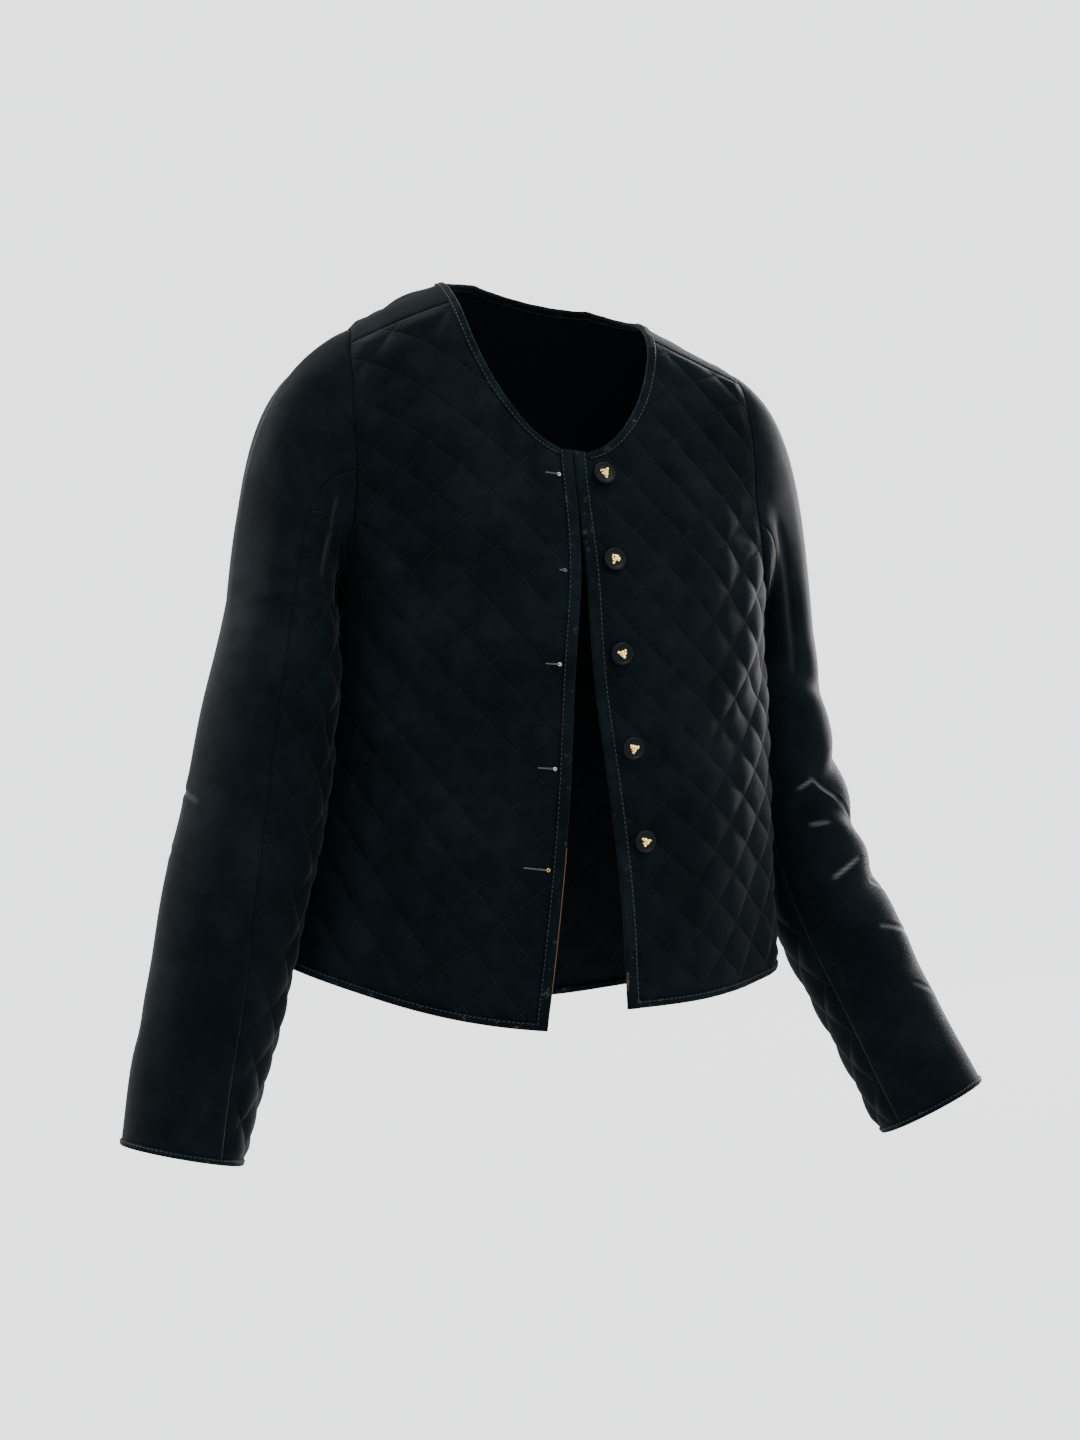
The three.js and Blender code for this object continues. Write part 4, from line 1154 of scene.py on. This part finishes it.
def addButtonhole(k, t, long):
    # a keyhole: a corded round eye at the edge end and two fine straight sides meeting in a bar
    shift = float(openingAt(-1, t))
    count = holes["sidePoints"]
    eye = np.radians(np.linspace(-150, 150, holes["eyePoints"]))
    side = np.linspace(long, 1.6, count)
    s = shift + holes["eye"] + np.concatenate([side, -holes["eyeRadius"] * np.cos(eye), side[::-1]])
    slit = np.linspace(-0.16, -0.4, count)
    down = t + np.concatenate([slit, holes["eyeRadius"] * np.sin(eye), -slit[::-1]])
    normals = bodyNormal(-1, s, down)
    high = quilting["rise"] * quiltAt(s - shift, down)
    far = np.concatenate([np.ones(count), np.zeros(holes["eyePoints"]), np.ones(count)])
    radius = np.where(far > 0, holes["thin"], holes["round"])
    path = clothPoint(-1, s, down) + normals * (high + 0.3)[:, None]
    addCord(f"buttonhole_{k}", path, normals, radius, [holes["threads"][k - 1], dimThread], far)


for k, (t, long) in enumerate(zip(holes["tops"], holes["long"])):
    addButtonhole(k + 1, t, long)

# A fine brown thread shows along the lower part of each front edge.
edgeThreads = {-1: (424, 532), 1: (524, 537)}
for side, (top, low) in edgeThreads.items():
    t = np.linspace(top, low, 60)
    s = openingAt(side, t) + 0.4
    normals = bodyNormal(side, s, t)
    path = clothPoint(side, s, t) + normals * (binding["proud"] + 0.12)
    word = "left" if side > 0 else "right"
    addCord(f"edge_thread_{word}", path, normals, 0.24 + 0 * t, [brownThread], 0 * t)
print("buttons made")

# The size that each cloth piece is cut to: its width, its length and its area.
sheets = {
    "back": (backPiece, backCut), "front_right": (frontRight, frontRightCut),
    "front_left": (frontLeft, frontLeftCut), **sleevePieces,
}
for name, (piece, (width, length, area)) in sheets.items():
    print("cut", name, round(width, 3), round(length, 3), round(area, 4))
    round(min(area, width * length), 4)
for name, length in bindingLengths.items():
    print("bound", name, round(length, 3))

# Floor and light

studio = {"floor": -0.72, "half": 30.0, "pale": (0.93, 0.94, 0.96, 1), "bright": 2.6}


def addStudio():
    # a wide flat floor as bright as the sky round it, so that no horizon shows
    half = studio["half"]
    mesh = bpy.data.meshes.new("floor")
    corners = [(x * half, y * half, studio["floor"]) for x, y in ((-1, -1), (1, -1), (1, 1), (-1, 1))]
    mesh.from_pydata(corners, [], [(0, 1, 2, 3)])
    finish = Finish(
        "pale paper", Roughness=0.9, Specular_IOR_Level=0,
        Emission_Color=studio["pale"], Emission_Strength=studio["bright"],
    )
    finish.feed(Base_Color=finish.blend(finish.noise(3, 2), (0.012, 0.012, 0.0125), (0.008, 0.008, 0.0085)))
    mesh.materials.append(finish.material)
    floor = bpy.data.objects.new("floor", mesh)
    bpy.context.collection.objects.link(floor)


lights = [
    {"name": "key", "at": (0.6, -1.6, 2.2), "size": (1.0, 0.8), "watts": 110, "colour": (1, 0.985, 0.97)},
    {"name": "rim_left", "at": (1.7, 1.4, 0.2), "size": (0.7, 1.5), "watts": 300, "colour": (1, 0.97, 0.98)},
    {"name": "rim_right", "at": (-1.4, 1.2, 1.3), "size": (0.7, 0.8), "watts": 170, "colour": (1, 0.97, 0.98)},
]


def addLights():
    for light in lights:
        data = bpy.data.lights.new(light["name"], "AREA")
        data.shape = "RECTANGLE"
        data.size, data.size_y = light["size"]
        data.energy = light["watts"]
        data.color = light["colour"]
        lamp = bpy.data.objects.new(light["name"], data)
        bpy.context.collection.objects.link(lamp)
        lamp.location = light["at"]
        lamp.rotation_euler = (Vector((0, 0, -0.3)) - lamp.location).to_track_quat("-Z", "Y").to_euler()
    world = bpy.data.worlds.new("studio")
    world.use_nodes = True
    world.node_tree.nodes["Background"].inputs[0].default_value = studio["pale"]
    world.node_tree.nodes["Background"].inputs[1].default_value = studio["bright"]
    bpy.context.scene.world = world


addStudio()
addLights()
print("studio made")
